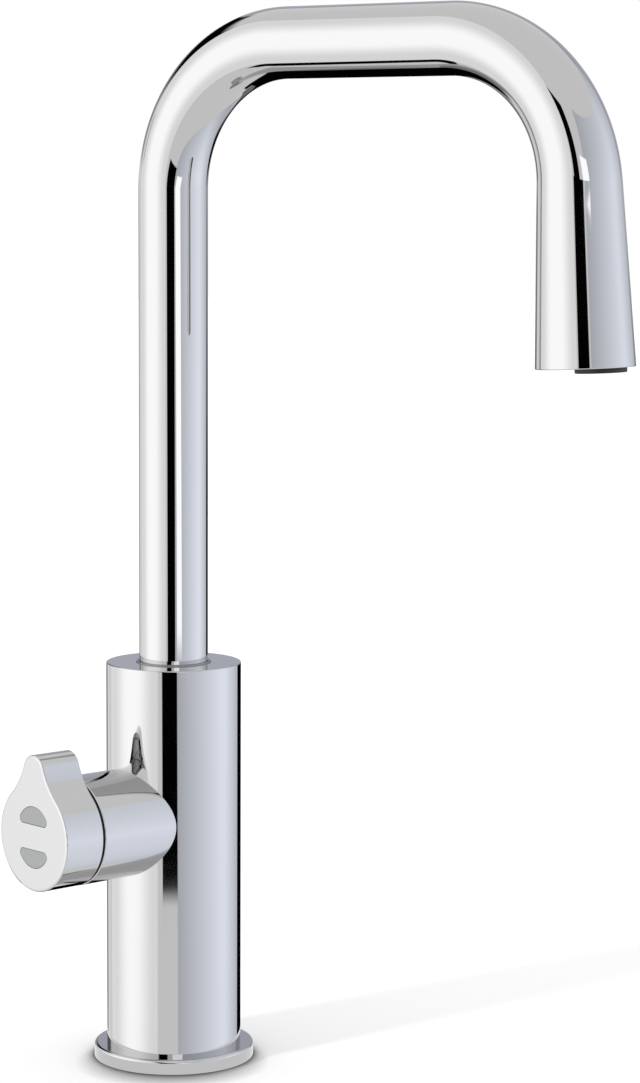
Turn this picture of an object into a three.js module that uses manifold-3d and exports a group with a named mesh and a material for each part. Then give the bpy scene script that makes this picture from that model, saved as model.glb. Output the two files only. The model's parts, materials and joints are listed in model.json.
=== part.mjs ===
// Boiling water tap with a side lever, two push buttons in the lever's face and a square swivel spout.
// Millimetres, +Z up. The origin is the middle of the tap hole, on the top face of the worktop.
// The lever points along -X, the user stands towards -Y, and the spout rests swung a little towards +X.
import * as THREE from 'three';
import { mergeVertices } from 'three/addons/utils/BufferGeometryUtils.js';
import Module from 'manifold-3d';

const wasm = await Module();
wasm.setup();

// ---- Fits ----
const slip = 0.3;                      // running gap wherever one piece turns, slides or nests in another
const cutOver = 1;                     // how far a cutting tool runs past the face that it opens

// ---- Base and column ----
const flangeRadius = 30;
const flangeHeight = 5.4;
const flangeBevel = 1.2;
const gasketRadius = 26;
const gasketWidth = 5;
const gasketHeight = 1.6;
const columnRadius = 25.2;
const columnHeight = 150.3;
const columnWall = 2.6;
const columnBevel = 0.4;
const columnTopThickness = 4;

// ---- Fixing under the worktop ----
const worktopThickness = 30;
const shankRadius = 16;
const shankWall = 3;
const shankSocketDepth = 14;
const shankTail = 12;
const clampRadius = 27;
const clampGasketHeight = 3;
const clampWasherHeight = 2.5;
const nutFlatRadius = 23;
const nutHeight = 8;
const inletLength = 16;
const inletWall = 1.2;
const inletGap = 2;
const inletBarbs = 3;
const inletBarbStep = 0.4;
const inletTurns = { cold: 135, hot: 225, boiling: 45, chilled: 315 };

// ---- Swivel spout ----
const tubeRadius = 12.8;
const tubeWall = 1.4;
const armHeight = 378.1;
const bendRadius = 52;
const spoutReach = 176.7;
const outletHeight = 266.7;
const outletShift = 5.33;
const outletFlare = 4.34;
const restSwing = THREE.MathUtils.degToRad(12.4);
const clipGroove = 0.8;
const clipHeight = 1.3;
const clipWidth = 4.9;
const clipOpening = THREE.MathUtils.degToRad(50);
const swivelHeadroom = 5;
const swivelBushWall = 2.8;
const swivelBushHeight = 5;
const thrustWasherHeight = 1.2;
const thrustWasherLap = 1;
const oRingThickness = 2.5;
const collarWall = 0.8;
const collarRise = 0.4;
const collarLip = 3.4;
const collarLipHeight = 1.3;
const footPlugHeight = 9;

// ---- Water tubes in the spout, and the outlet ----
const waterTubeRadius = 3.4;
const waterTubeWall = 0.9;
const waterTubeSpacing = 5.6;
const insertHeight = 14;
const insertRecess = 1.5;
const insertFloor = 4;
const aeratorOffset = 6;
const aeratorRadius = 8.9;
const aeratorWall = 1.5;
const aeratorHeight = 9;
const aeratorDrop = 1.75;
const aeratorThread = 0.7;
const screenThickness = 1.6;
const screenBarWidth = 1;
const screenBars = 5;
const sealHeight = 1.2;
const nozzleRadius = 4;
const nozzleWall = 1;
const nozzleGap = 1.6;
const nozzleHeight = 8;

// ---- Valve in the column ----
const leverDrop = 58.1;
const bossRadius = 20;
const bossReach = 48.3;
const bossWall = 2.4;
const housingWall = 2.9;
const housingSeatReach = 14;
const cartridgeSeatReach = 6;
const nutRoom = 11.3;
const socketFloorThickness = 5;
const waterwayRadius = 2.5;
const outletWayRadius = 3;
const outletWayOffset = 10;
const cartridgeWall = 2.5;
const cartridgeBaseHeight = 3;
const cartridgeSealWidth = 2;
const discHeight = 3.4;
const discPortRadius = 2.2;
const discPortOffset = 6;
const discPortTurn = THREE.MathUtils.degToRad(45);
const driverHeight = 3;
const driverRadius = 9;
const neckWall = 3.4;
const neckRise = 3.2;
const neckSlack = 0.1;
const cartridgeNutGrip = 2.7;
const cartridgeNutHead = 3;
const spindleSealHeight = 1.6;
const spindleRadius = 4.2;

// ---- Lever handle ----
const seamGap = 1;
const handleDepth = 16.7;
const handleRadius = 20;
const handleTipRadius = 6;
const handleTipHeight = 30.2;
const handleFlankRadius = 30;
const handleWall = 2;
const handleFaceThickness = 1.8;
const handleBevel = 0.5;
const bushInset = 0.8;
const bushFlange = 0.4;
const bushSpigot = 4.5;
const bushWall = 2.8;
const hubEndWall = 1.6;
const grubScrewRadius = 2.2;
const grubScrewLength = 6;

// ---- Push buttons and their switches ----
const buttonRadius = 9.4;
const buttonMiddle = 1.9;
const buttonFlat = 4.65;
const buttonCorner = 1.8;
const buttonLip = 0.9;
const buttonLipHeight = 1;
const buttonTravel = 0.8;
const membraneThickness = 0.8;
const boardThickness = 1.6;
const boardRadius = 15.5;
const switchSize = 4.6;
const switchHeight = 1.3;

// ---- Mesh fineness ----
const showSides = 40;
const hiddenSides = 20;
const smallSides = 16;
const holeSides = 10;
const portSides = 8;
const sealSides = 6;
const spoutSides = 24;
const spoutBendSteps = 10;
const tubeSides = 6;
const tubeBendSteps = 6;
const legSteps = 2;
const leanPasses = 12;
const arcStep = THREE.MathUtils.degToRad(12);

// ---- Materials ----
const finish = (colour, roughness, metalness) =>
  new THREE.MeshStandardMaterial({ color: colour, roughness, metalness });
const chrome = () => finish(0xdfe1e4, 0.05, 1);
const brass = () => finish(0xc8a45c, 0.35, 1);
const steel = () => finish(0xb9bcc0, 0.3, 1);
const satin = () => finish(0xa7a9a9, 0.45, 0.6);
const rubber = () => finish(0x1c1c1e, 0.8, 0);
const blackPlastic = () => finish(0x141416, 0.5, 0);
const acetal = () => finish(0xe9e7e0, 0.45, 0);
const ceramic = () => finish(0xf3f0ea, 0.25, 0);
const silicone = () => finish(0xc9ccd0, 0.6, 0);
const greenBoard = () => finish(0x1f6b3c, 0.5, 0);

// ---- Making solids ----

// Drops everything but position, joins coincident corners and turns the faces outward.
function welded(geometry) {
  geometry.deleteAttribute('normal');
  geometry.deleteAttribute('uv');
  const mesh = mergeVertices(geometry, 1e-5);
  const at = mesh.getAttribute('position');
  const index = Array.from(mesh.index.array);
  const corner = (i) => new THREE.Vector3().fromBufferAttribute(at, i);
  const kept = [];
  let volume = 0;
  for (let i = 0; i < index.length; i += 3) {
    const [a, b, c] = index.slice(i, i + 3);
    if (a === b || b === c || c === a) continue;
    kept.push(a, b, c);
    volume += corner(a).dot(corner(b).cross(corner(c)));
  }
  if (volume < 0) kept.reverse();
  mesh.setIndex(kept);
  return mesh;
}

// Turns a closed outline of [radius, height] points round the Z axis.
function turned(profile, sides) {
  const points = profile.map(([radius, height]) => new THREE.Vector2(radius, height));
  const geometry = new THREE.LatheGeometry(points, sides);
  geometry.rotateX(Math.PI / 2);
  return welded(geometry);
}

function ring(inner, outer, low, high, sides) {
  return turned([[inner, low], [outer, low], [outer, high], [inner, high], [inner, low]], sides);
}

function rod(radius, low, high, sides) {
  return turned([[0, low], [radius, low], [radius, high], [0, high]], sides);
}

function oRing(middleRadius, middleHeight, thickness, sides) {
  const geometry = new THREE.TorusGeometry(middleRadius, thickness / 2, sealSides, sides);
  geometry.translate(0, 0, middleHeight);
  return welded(geometry);
}

// Points of an arc, from its first angle to its last. Short arcs get few of them, and none is doubled.
function arc(x, y, radius, from, to) {
  const steps = Math.max(2, Math.ceil(Math.abs(to - from) / arcStep));
  const points = [];
  for (let i = 0; i <= steps; i += 1) {
    const turn = from + ((to - from) * i) / steps;
    points.push(new THREE.Vector2(x + radius * Math.cos(turn), y + radius * Math.sin(turn)));
  }
  return points;
}

function outline(...runs) {
  const points = runs.flat();
  return new THREE.Shape(points.filter((point, i) => point.distanceTo(points.at(i - 1)) > 1e-4));
}

function circle(x, y, radius, sides) {
  const points = [];
  for (let i = 0; i < sides; i += 1) {
    const turn = (i / sides) * Math.PI * 2;
    points.push(new THREE.Vector2(x + radius * Math.cos(turn), y + radius * Math.sin(turn)));
  }
  return points;
}

function plate(shape, low, high, bevel = 0) {
  const geometry = new THREE.ExtrudeGeometry(shape, {
    depth: high - low - 2 * bevel,
    bevelEnabled: bevel > 0,
    bevelThickness: bevel,
    bevelSize: bevel,
    bevelOffset: -bevel,
    bevelSegments: 1,
  });
  geometry.translate(0, 0, low + bevel);
  return welded(geometry);
}

function toManifold(geometry) {
  return new wasm.Manifold(new wasm.Mesh({
    numProp: 3,
    vertProperties: new Float32Array(geometry.getAttribute('position').array),
    triVerts: new Uint32Array(geometry.index.array),
  }));
}

function fromManifold(body) {
  const mesh = body.getMesh();
  const geometry = new THREE.BufferGeometry();
  geometry.setAttribute('position', new THREE.BufferAttribute(new Float32Array(mesh.vertProperties), 3));
  geometry.setIndex(Array.from(mesh.triVerts));
  return geometry;
}

function cut(geometry, ...tools) {
  const body = tools.reduce((rest, tool) => rest.subtract(toManifold(tool)), toManifold(geometry));
  return fromManifold(body);
}

function joined(geometry, ...others) {
  const body = others.reduce((sum, other) => sum.add(toManifold(other)), toManifold(geometry));
  return fromManifold(body);
}

// Skins a run of rings that have the same number of points, and closes both ends.
// With inner rings too, the result is a hollow shell that is open at both ends.
function lofted(outer, inner) {
  const sides = outer[0].length;
  const points = [];
  const faces = [];
  const place = (rings) => rings.map((loop) => loop.map((point) => points.push(point) - 1));
  const wall = (rings) => {
    for (let i = 0; i + 1 < rings.length; i += 1) {
      for (let j = 0; j < sides; j += 1) {
        const next = (j + 1) % sides;
        faces.push(rings[i][j], rings[i][next], rings[i + 1][next]);
        faces.push(rings[i][j], rings[i + 1][next], rings[i + 1][j]);
      }
    }
  };
  const outside = place(outer);
  wall(outside);
  if (inner) {
    const inside = place(inner);
    wall(inside.slice().reverse());
    wall([inside[0], outside[0]]);
    wall([outside.at(-1), inside.at(-1)]);
  } else {
    const fan = (loop) => {
      for (let j = 1; j + 1 < sides; j += 1) faces.push(loop[0], loop[j + 1], loop[j]);
    };
    fan(outside[0]);
    fan(outside.at(-1).slice().reverse());
  }
  const geometry = new THREE.BufferGeometry().setFromPoints(points);
  geometry.setIndex(faces);
  return welded(geometry);
}

function add(parent, name, geometry, material) {
  const mesh = new THREE.Mesh(geometry, material);
  mesh.name = name;
  parent.add(mesh);
  return mesh;
}

// ---- Places worked out from the driving sizes ----
const leverHeight = columnHeight - leverDrop;
const columnBore = columnRadius - columnWall;
const coreRadius = columnBore - slip;
const columnCeiling = columnHeight - columnTopThickness;
const coreTop = columnCeiling - swivelHeadroom;
const bossBore = bossRadius - bossWall;
const housingRadius = bossBore - slip;
const cartridgeRadius = housingRadius - housingWall - slip;
const socketFloor = leverHeight + housingRadius + socketFloorThickness;
const swivelBushInner = tubeRadius + slip;
const swivelBushOuter = swivelBushInner + swivelBushWall;
const socketRadius = swivelBushOuter + slip;
const spoutFoot = socketFloor + thrustWasherHeight + slip;
const shankBore = shankRadius - shankWall;
const shankTop = flangeHeight + shankSocketDepth;
const clampTop = -worktopThickness;
const nutTop = clampTop - clampGasketHeight - clampWasherHeight;
const shankFoot = nutTop - nutHeight - shankTail;
const inletRadius = (shankBore - inletGap) / (1 + Math.SQRT2) - inletGap / 2;
const inletCircle = shankBore - inletGap - inletRadius;

const root = new THREE.Group();

// ---- Base: flange on the worktop, with its gasket in a groove below ----
function makeBase(parent) {
  const bore = shankRadius + slip;
  const grooveInner = gasketRadius - gasketWidth - slip;
  const grooveOuter = gasketRadius + slip;
  const flange = turned([
    [bore, 0],
    [grooveInner, 0],
    [grooveInner, gasketHeight + slip],
    [grooveOuter, gasketHeight + slip],
    [grooveOuter, 0],
    [flangeRadius, 0],
    [flangeRadius, flangeHeight - flangeBevel],
    [flangeRadius - flangeBevel, flangeHeight],
    [bore, flangeHeight],
    [bore, 0],
  ], showSides);
  add(parent, 'base_flange', flange, chrome());
  const gasket = ring(gasketRadius - gasketWidth, gasketRadius, 0, gasketHeight, spoutSides);
  add(parent, 'base_gasket', gasket, rubber());
}

// A group whose +Z runs out along the lever's axis, with +Y still up and +X towards the user.
function leverFrame() {
  const frame = new THREE.Group();
  const basis = new THREE.Matrix4().makeBasis(
    new THREE.Vector3(0, -1, 0),
    new THREE.Vector3(0, 0, 1),
    new THREE.Vector3(-1, 0, 0),
  );
  frame.quaternion.setFromRotationMatrix(basis);
  frame.position.set(0, 0, leverHeight);
  frame.updateMatrixWorld();
  return frame;
}

const alongLever = (geometry) => geometry.clone().applyMatrix4(leverFrame().matrixWorld);
const upright = (geometry, x, y) => geometry.translate(x, y, 0);

// The middle of an inlet, from its turn about the column in degrees.
function inletPlace(turn) {
  const angle = THREE.MathUtils.degToRad(turn);
  return { x: inletCircle * Math.cos(angle), y: inletCircle * Math.sin(angle) };
}

// ---- Column: chromed tube with its flat top and the boss for the lever ----
function makeColumn(parent) {
  const outside = turned([
    [0, flangeHeight],
    [columnRadius, flangeHeight],
    [columnRadius, columnHeight - columnBevel],
    [columnRadius - columnBevel, columnHeight],
    [0, columnHeight],
  ], showSides);
  const boss = turned([
    [0, 0],
    [bossRadius, 0],
    [bossRadius, bossReach - columnBevel],
    [bossRadius - columnBevel, bossReach],
    [0, bossReach],
  ], showSides);
  const bore = rod(columnBore, flangeHeight - cutOver, columnCeiling, showSides);
  const bossHole = rod(bossBore, 0, bossReach + cutOver, showSides);
  const topHoleRadius = tubeRadius + collarWall + 2 * slip;
  const topHole = rod(topHoleRadius, columnCeiling - cutOver, columnHeight + cutOver, showSides);
  const shell = cut(joined(outside, alongLever(boss)), bore, alongLever(bossHole), topHole);
  add(parent, 'column_shell', shell, chrome());
}

// ---- Valve core: brass block with the water ways, the cartridge bore and the spout's socket ----
function makeCore(parent) {
  const block = rod(coreRadius, flangeHeight, coreTop, spoutSides);
  const shankSocket = rod(shankRadius + slip, flangeHeight - cutOver, shankTop, hiddenSides);
  const spoutSocket = rod(socketRadius, socketFloor, coreTop + cutOver, hiddenSides);
  const housingBore = alongLever(rod(bossBore, housingSeatReach, columnRadius, hiddenSides));
  const cartridgeHole = rod(cartridgeRadius + slip, cartridgeSeatReach, columnRadius, hiddenSides);
  const ways = Object.entries(inletTurns).map(([name, turn]) => {
    const mixed = name === 'cold' || name === 'hot';
    const top = mixed ? leverHeight : socketFloor + cutOver;
    const { x, y } = inletPlace(turn);
    return upright(rod(waterwayRadius, shankTop - cutOver, top, holeSides), x, y);
  });
  const outletWay = rod(outletWayRadius, leverHeight, socketFloor + cutOver, holeSides);
  const mixedWay = upright(outletWay, -outletWayOffset, 0);
  const core = cut(block, shankSocket, spoutSocket, housingBore, alongLever(cartridgeHole), ...ways, mixedWay);
  add(parent, 'valve_core', core, brass());
}

// ---- Threaded shank, clamp and nut that pull the tap down on the worktop ----
function horseshoe(outer, slot) {
  const lip = Math.asin(slot / outer);
  return outline(
    arc(0, 0, outer, Math.PI / 2 + lip, Math.PI * 2.5 - lip),
    arc(0, 0, slot, 0, -Math.PI),
  );
}

function hexagon(flatRadius, hole) {
  const shape = new THREE.Shape(circle(0, 0, flatRadius / Math.cos(Math.PI / 6), 6));
  shape.holes.push(new THREE.Path(circle(0, 0, hole, hiddenSides)));
  return shape;
}

function makeFixing(parent) {
  const hole = shankRadius + slip;
  add(parent, 'threaded_shank', ring(shankBore, shankRadius, shankFoot, shankTop, hiddenSides), brass());
  const gasketFoot = clampTop - clampGasketHeight;
  add(parent, 'clamp_gasket', ring(hole, clampRadius, gasketFoot, clampTop, hiddenSides), rubber());
  add(parent, 'clamp_washer', plate(horseshoe(clampRadius, hole), nutTop, gasketFoot), steel());
  add(parent, 'back_nut', plate(hexagon(nutFlatRadius, hole), nutTop - nutHeight, nutTop), brass());
}

// ---- Hose inlets: four barbed tails under the core, inside the shank ----
function makeInlets(parent) {
  const foot = shankTop - inletLength;
  const profile = [[inletRadius - inletWall - inletBarbStep, foot]];
  const barb = inletLength / (inletBarbs + 1);
  for (let i = 0; i < inletBarbs; i += 1) {
    profile.push([inletRadius - inletBarbStep, foot + i * barb]);
    profile.push([inletRadius, foot + (i + 1) * barb]);
  }
  profile.push([inletRadius - inletBarbStep, foot + inletBarbs * barb]);
  profile.push([inletRadius - inletBarbStep, shankTop]);
  profile.push([inletRadius - inletWall - inletBarbStep, shankTop]);
  profile.push([inletRadius - inletWall - inletBarbStep, foot]);
  for (const [name, turn] of Object.entries(inletTurns)) {
    const { x, y } = inletPlace(turn);
    add(parent, `${name}_inlet`, turned(profile, holeSides), brass()).position.set(x, y, 0);
  }
}

// ---- Cartridge: ceramic discs in a housing that screws in through the boss ----
const housingEnd = bossReach - nutRoom;
const cartridgeFoot = cartridgeSeatReach + sealHeight + slip;
const cartridgeShoulder = housingEnd - cartridgeNutGrip;
const cartridgeBase = cartridgeFoot + cartridgeBaseHeight;
const fixedDiscTop = cartridgeBase + slip + discHeight;
const movingDiscFoot = fixedDiscTop + slip;
const movingDiscTop = movingDiscFoot + discHeight;
const driverFoot = movingDiscTop + slip;
const chamberTop = driverFoot + driverHeight + slip;
const chamberRadius = cartridgeRadius - cartridgeWall;
const neckBore = spindleRadius + slip + neckSlack;
const neckRadius = neckBore + neckWall;
const neckTop = cartridgeShoulder + neckRise;
const nutHeadTop = housingEnd + slip + cartridgeNutHead;

function portedDisc(radius, low, high, ports) {
  const shape = new THREE.Shape(circle(0, 0, radius, hiddenSides));
  for (let i = 0; i < ports; i += 1) {
    const turn = discPortTurn + (i / ports) * Math.PI * 2;
    const x = discPortOffset * Math.cos(turn);
    const y = discPortOffset * Math.sin(turn);
    shape.holes.push(new THREE.Path(circle(x, y, discPortRadius, portSides)));
  }
  return plate(shape, low, high);
}

function makeCartridge(parent) {
  const frame = leverFrame();
  parent.add(frame);
  const housingFoot = housingSeatReach + slip;
  const housing = ring(cartridgeRadius + slip, housingRadius, housingFoot, housingEnd, hiddenSides);
  add(frame, 'cartridge_housing', housing, brass());
  const body = turned([
    [chamberRadius, cartridgeFoot],
    [cartridgeRadius, cartridgeFoot],
    [cartridgeRadius, cartridgeShoulder],
    [neckRadius, cartridgeShoulder],
    [neckRadius, neckTop],
    [neckBore, neckTop],
    [neckBore, chamberTop],
    [chamberRadius, chamberTop],
    [chamberRadius, cartridgeFoot],
  ], hiddenSides);
  add(frame, 'cartridge_body', body, acetal());
  const insideRadius = chamberRadius - slip;
  add(frame, 'cartridge_base', portedDisc(insideRadius, cartridgeFoot, cartridgeBase, 3), acetal());
  add(frame, 'fixed_disc', portedDisc(insideRadius, cartridgeBase + slip, fixedDiscTop, 3), ceramic());
  const seal = ring(cartridgeRadius - cartridgeSealWidth, cartridgeRadius, cartridgeSeatReach + slip / 2,
    cartridgeFoot - slip / 2, hiddenSides);
  add(frame, 'cartridge_seal', seal, rubber());
  const nut = turned([
    [neckRadius + slip, cartridgeShoulder + slip],
    [cartridgeRadius, cartridgeShoulder + slip],
    [cartridgeRadius, housingEnd + slip],
    [housingRadius, housingEnd + slip],
    [housingRadius, nutHeadTop],
    [neckRadius + slip, nutHeadTop],
    [neckRadius + slip, cartridgeShoulder + slip],
  ], hiddenSides);
  add(frame, 'cartridge_nut', nut, brass());
  const sealFoot = neckTop + slip;
  const spindleSeal = ring(neckBore, neckRadius, sealFoot, sealFoot + spindleSealHeight, smallSides);
  add(frame, 'spindle_seal', spindleSeal, rubber());
  const bushFoot = bossReach - bushSpigot;
  const bush = turned([
    [bossBore - slip - bushWall, bushFoot],
    [bossBore - slip, bushFoot],
    [bossBore - slip, bossReach + slip],
    [handleRadius - bushInset, bossReach + slip],
    [handleRadius - bushInset, bossReach + slip + bushFlange],
    [bossBore - slip - bushWall, bossReach + slip + bushFlange],
    [bossBore - slip - bushWall, bushFoot],
  ], hiddenSides);
  add(frame, 'handle_bush', bush, blackPlastic());
}

// ---- Swivel fittings in the core's socket ----
function makeSwivel(parent) {
  const washerRim = tubeRadius - tubeWall - thrustWasherLap;
  const washerTop = socketFloor + thrustWasherHeight;
  const washer = ring(washerRim, swivelBushOuter, socketFloor, washerTop, hiddenSides);
  add(parent, 'thrust_washer', washer, acetal());
  const lowerFoot = spoutFoot;
  const lowerTop = lowerFoot + swivelBushHeight;
  const upperFoot = coreTop - swivelBushHeight;
  const lowerBush = ring(swivelBushInner, swivelBushOuter, lowerFoot, lowerTop, hiddenSides);
  add(parent, 'lower_swivel_bush', lowerBush, acetal());
  const upperBush = ring(swivelBushInner, swivelBushOuter, upperFoot, coreTop, hiddenSides);
  add(parent, 'upper_swivel_bush', upperBush, acetal());
  const sealInset = (upperFoot - lowerTop) / 3;
  const middleRadius = (tubeRadius + socketRadius) / 2;
  const lowerSeal = oRing(middleRadius, lowerTop + sealInset, oRingThickness, hiddenSides);
  add(parent, 'lower_swivel_seal', lowerSeal, rubber());
  const upperSeal = oRing(middleRadius, upperFoot - sealInset, oRingThickness, hiddenSides);
  add(parent, 'upper_swivel_seal', upperSeal, rubber());

  const clipInner = tubeRadius - clipGroove + slip;
  const clipOuter = clipInner + clipWidth;
  const half = clipOpening / 2;
  const clip = outline(
    arc(0, 0, clipOuter, half, Math.PI * 2 - half),
    arc(0, 0, clipInner, Math.PI * 2 - half, half),
  );
  const clipFoot = coreTop + slip;
  add(parent, 'retaining_clip', plate(clip, clipFoot, clipFoot + clipHeight), steel());

  const collarOuter = swivelBushInner + collarWall;
  const lipTop = columnCeiling - slip;
  const collar = turned([
    [swivelBushInner, lipTop - collarLipHeight],
    [swivelBushInner + collarLip, lipTop - collarLipHeight],
    [swivelBushInner + collarLip, lipTop],
    [collarOuter, lipTop],
    [collarOuter, columnHeight + collarRise],
    [swivelBushInner, columnHeight + collarRise],
    [swivelBushInner, lipTop - collarLipHeight],
  ], spoutSides);
  add(parent, 'swivel_collar', collar, satin());
}

// ---- Spout: one centreline for the tube and for what runs inside it ----
// The line lies in the X-Z plane: up the column's axis, over two equal bends and down to the outlet.
// From the second bend on the tube opens as a cone. Its axis leans out and stands outletShift further out
// at the mouth, so the cone's inner side hangs almost plumb and its outer side leans.
const bendCentreHeight = armHeight - bendRadius;
const legAt = (lean) => (bendCentreHeight + bendRadius * Math.sin(lean) - outletHeight) / Math.cos(lean);
const bendAt = (lean) => bendRadius * (Math.PI / 2 - lean);
let outletLean = 0;
for (let pass = 0; pass < leanPasses; pass += 1) {
  outletLean = Math.atan2(outletShift, legAt(outletLean) + bendAt(outletLean) / 2);
}
const legLength = legAt(outletLean);
const bendLength = bendAt(outletLean);
const bendTurn = bendLength / bendRadius;
const armEnd = spoutReach - bendRadius * Math.cos(outletLean) - legLength * Math.sin(outletLean);

// How much the radius has grown at a distance past the start of the second bend. It starts smoothly.
function flareAt(travel) {
  if (travel <= 0) return 0;
  const slope = outletFlare / (legLength + bendLength / 2);
  if (travel < bendLength) return (slope * travel * travel) / (2 * bendLength);
  return slope * (travel - bendLength / 2);
}

// Stations along the centreline. Each has its point, its outward direction in the plane and its flare.
function spoutStations(foot, bendSteps, collars = []) {
  const stations = [];
  const station = (x, z, turn, travel, radiusStep = 0) => {
    const outward = new THREE.Vector3(-Math.cos(turn), 0, Math.sin(turn));
    stations.push({ middle: new THREE.Vector3(x, 0, z), outward, flare: flareAt(travel), radiusStep });
  };
  station(0, foot, 0, 0);
  collars.forEach(([height, step]) => station(0, height, 0, 0, step));
  for (let i = 0; i <= bendSteps; i += 1) {
    const turn = (i / bendSteps) * (Math.PI / 2);
    const x = bendRadius * (1 - Math.cos(turn));
    station(x, bendCentreHeight + bendRadius * Math.sin(turn), turn, 0);
  }
  for (let i = 0; i <= bendSteps; i += 1) {
    const turn = (i / bendSteps) * bendTurn;
    const x = armEnd + bendRadius * Math.sin(turn);
    const z = bendCentreHeight + bendRadius * Math.cos(turn);
    station(x, z, turn + Math.PI / 2, turn * bendRadius);
  }
  for (let i = 1; i <= legSteps; i += 1) {
    const down = (i / legSteps) * legLength;
    const x = armEnd + bendRadius * Math.cos(outletLean) + down * Math.sin(outletLean);
    const z = bendCentreHeight + bendRadius * Math.sin(outletLean) - down * Math.cos(outletLean);
    station(x, z, bendTurn + Math.PI / 2, bendLength + down);
  }
  return stations;
}

// A circle round a station, or beside it by the two shifts.
function stationRing(at, radius, sides, across = 0, aside = 0) {
  const sideways = new THREE.Vector3(0, 1, 0);
  return circle(across, aside, radius, sides).map((corner) => at.middle.clone()
    .addScaledVector(at.outward, corner.x)
    .addScaledVector(sideways, corner.y));
}

const insertRadius = tubeRadius - tubeWall - slip;
const insertTop = insertRecess + insertHeight;

function makeSpout(parent) {
  const clipFoot = coreTop + slip;
  const grooveLow = coreTop;
  const grooveHigh = clipFoot + clipHeight + slip;
  const groove = [[grooveLow, 0], [grooveLow, -clipGroove], [grooveHigh, -clipGroove], [grooveHigh, 0]];
  const stations = spoutStations(spoutFoot, spoutBendSteps, groove);
  const outerRadius = (at) => tubeRadius + at.radiusStep + at.flare;
  const innerRadius = (at) => tubeRadius - tubeWall + at.flare;
  const outside = stations.map((at) => stationRing(at, outerRadius(at), spoutSides));
  const inside = stations.map((at) => stationRing(at, innerRadius(at), spoutSides));
  add(parent, 'spout_tube', lofted(outside, inside), chrome());

  // Three water tubes: the mains one on the outer side of the bends, the two filtered ones within.
  const third = Math.PI / 3;
  const tubes = {
    mixed_water_tube: [waterTubeSpacing, 0],
    boiling_water_tube: [-waterTubeSpacing * Math.cos(third), waterTubeSpacing * Math.sin(third)],
    chilled_water_tube: [-waterTubeSpacing * Math.cos(third), -waterTubeSpacing * Math.sin(third)],
  };
  const run = spoutStations(spoutFoot + slip, tubeBendSteps);
  const last = run.at(-1);
  const upLeg = new THREE.Vector3(-Math.sin(outletLean), 0, Math.cos(outletLean));
  last.middle.addScaledVector(upLeg, insertTop - insertFloor + slip);
  const plugHoles = [];
  const insertHoles = [];
  for (const [name, [across, aside]] of Object.entries(tubes)) {
    const rings = (radius) => run.map((at) => stationRing(at, radius, tubeSides, across, aside));
    const outer = rings(waterTubeRadius);
    const inner = rings(waterTubeRadius - waterTubeWall);
    add(parent, name, lofted(outer, inner), name.startsWith('mixed') ? acetal() : silicone());
    const plugTop = spoutFoot + footPlugHeight;
    const plugHole = rod(waterTubeRadius + slip, spoutFoot - cutOver, plugTop + cutOver, smallSides);
    plugHoles.push(upright(plugHole, -across, aside));
    const insertHole = rod(waterTubeRadius + slip, insertTop - insertFloor, insertTop + cutOver, smallSides);
    insertHoles.push(upright(insertHole, across, aside));
  }
  const plugRadius = tubeRadius - tubeWall - slip;
  const plug = rod(plugRadius, spoutFoot, spoutFoot + footPlugHeight, spoutSides);
  add(parent, 'spout_foot_plug', cut(plug, ...plugHoles), brass());
  return insertHoles;
}

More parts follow.
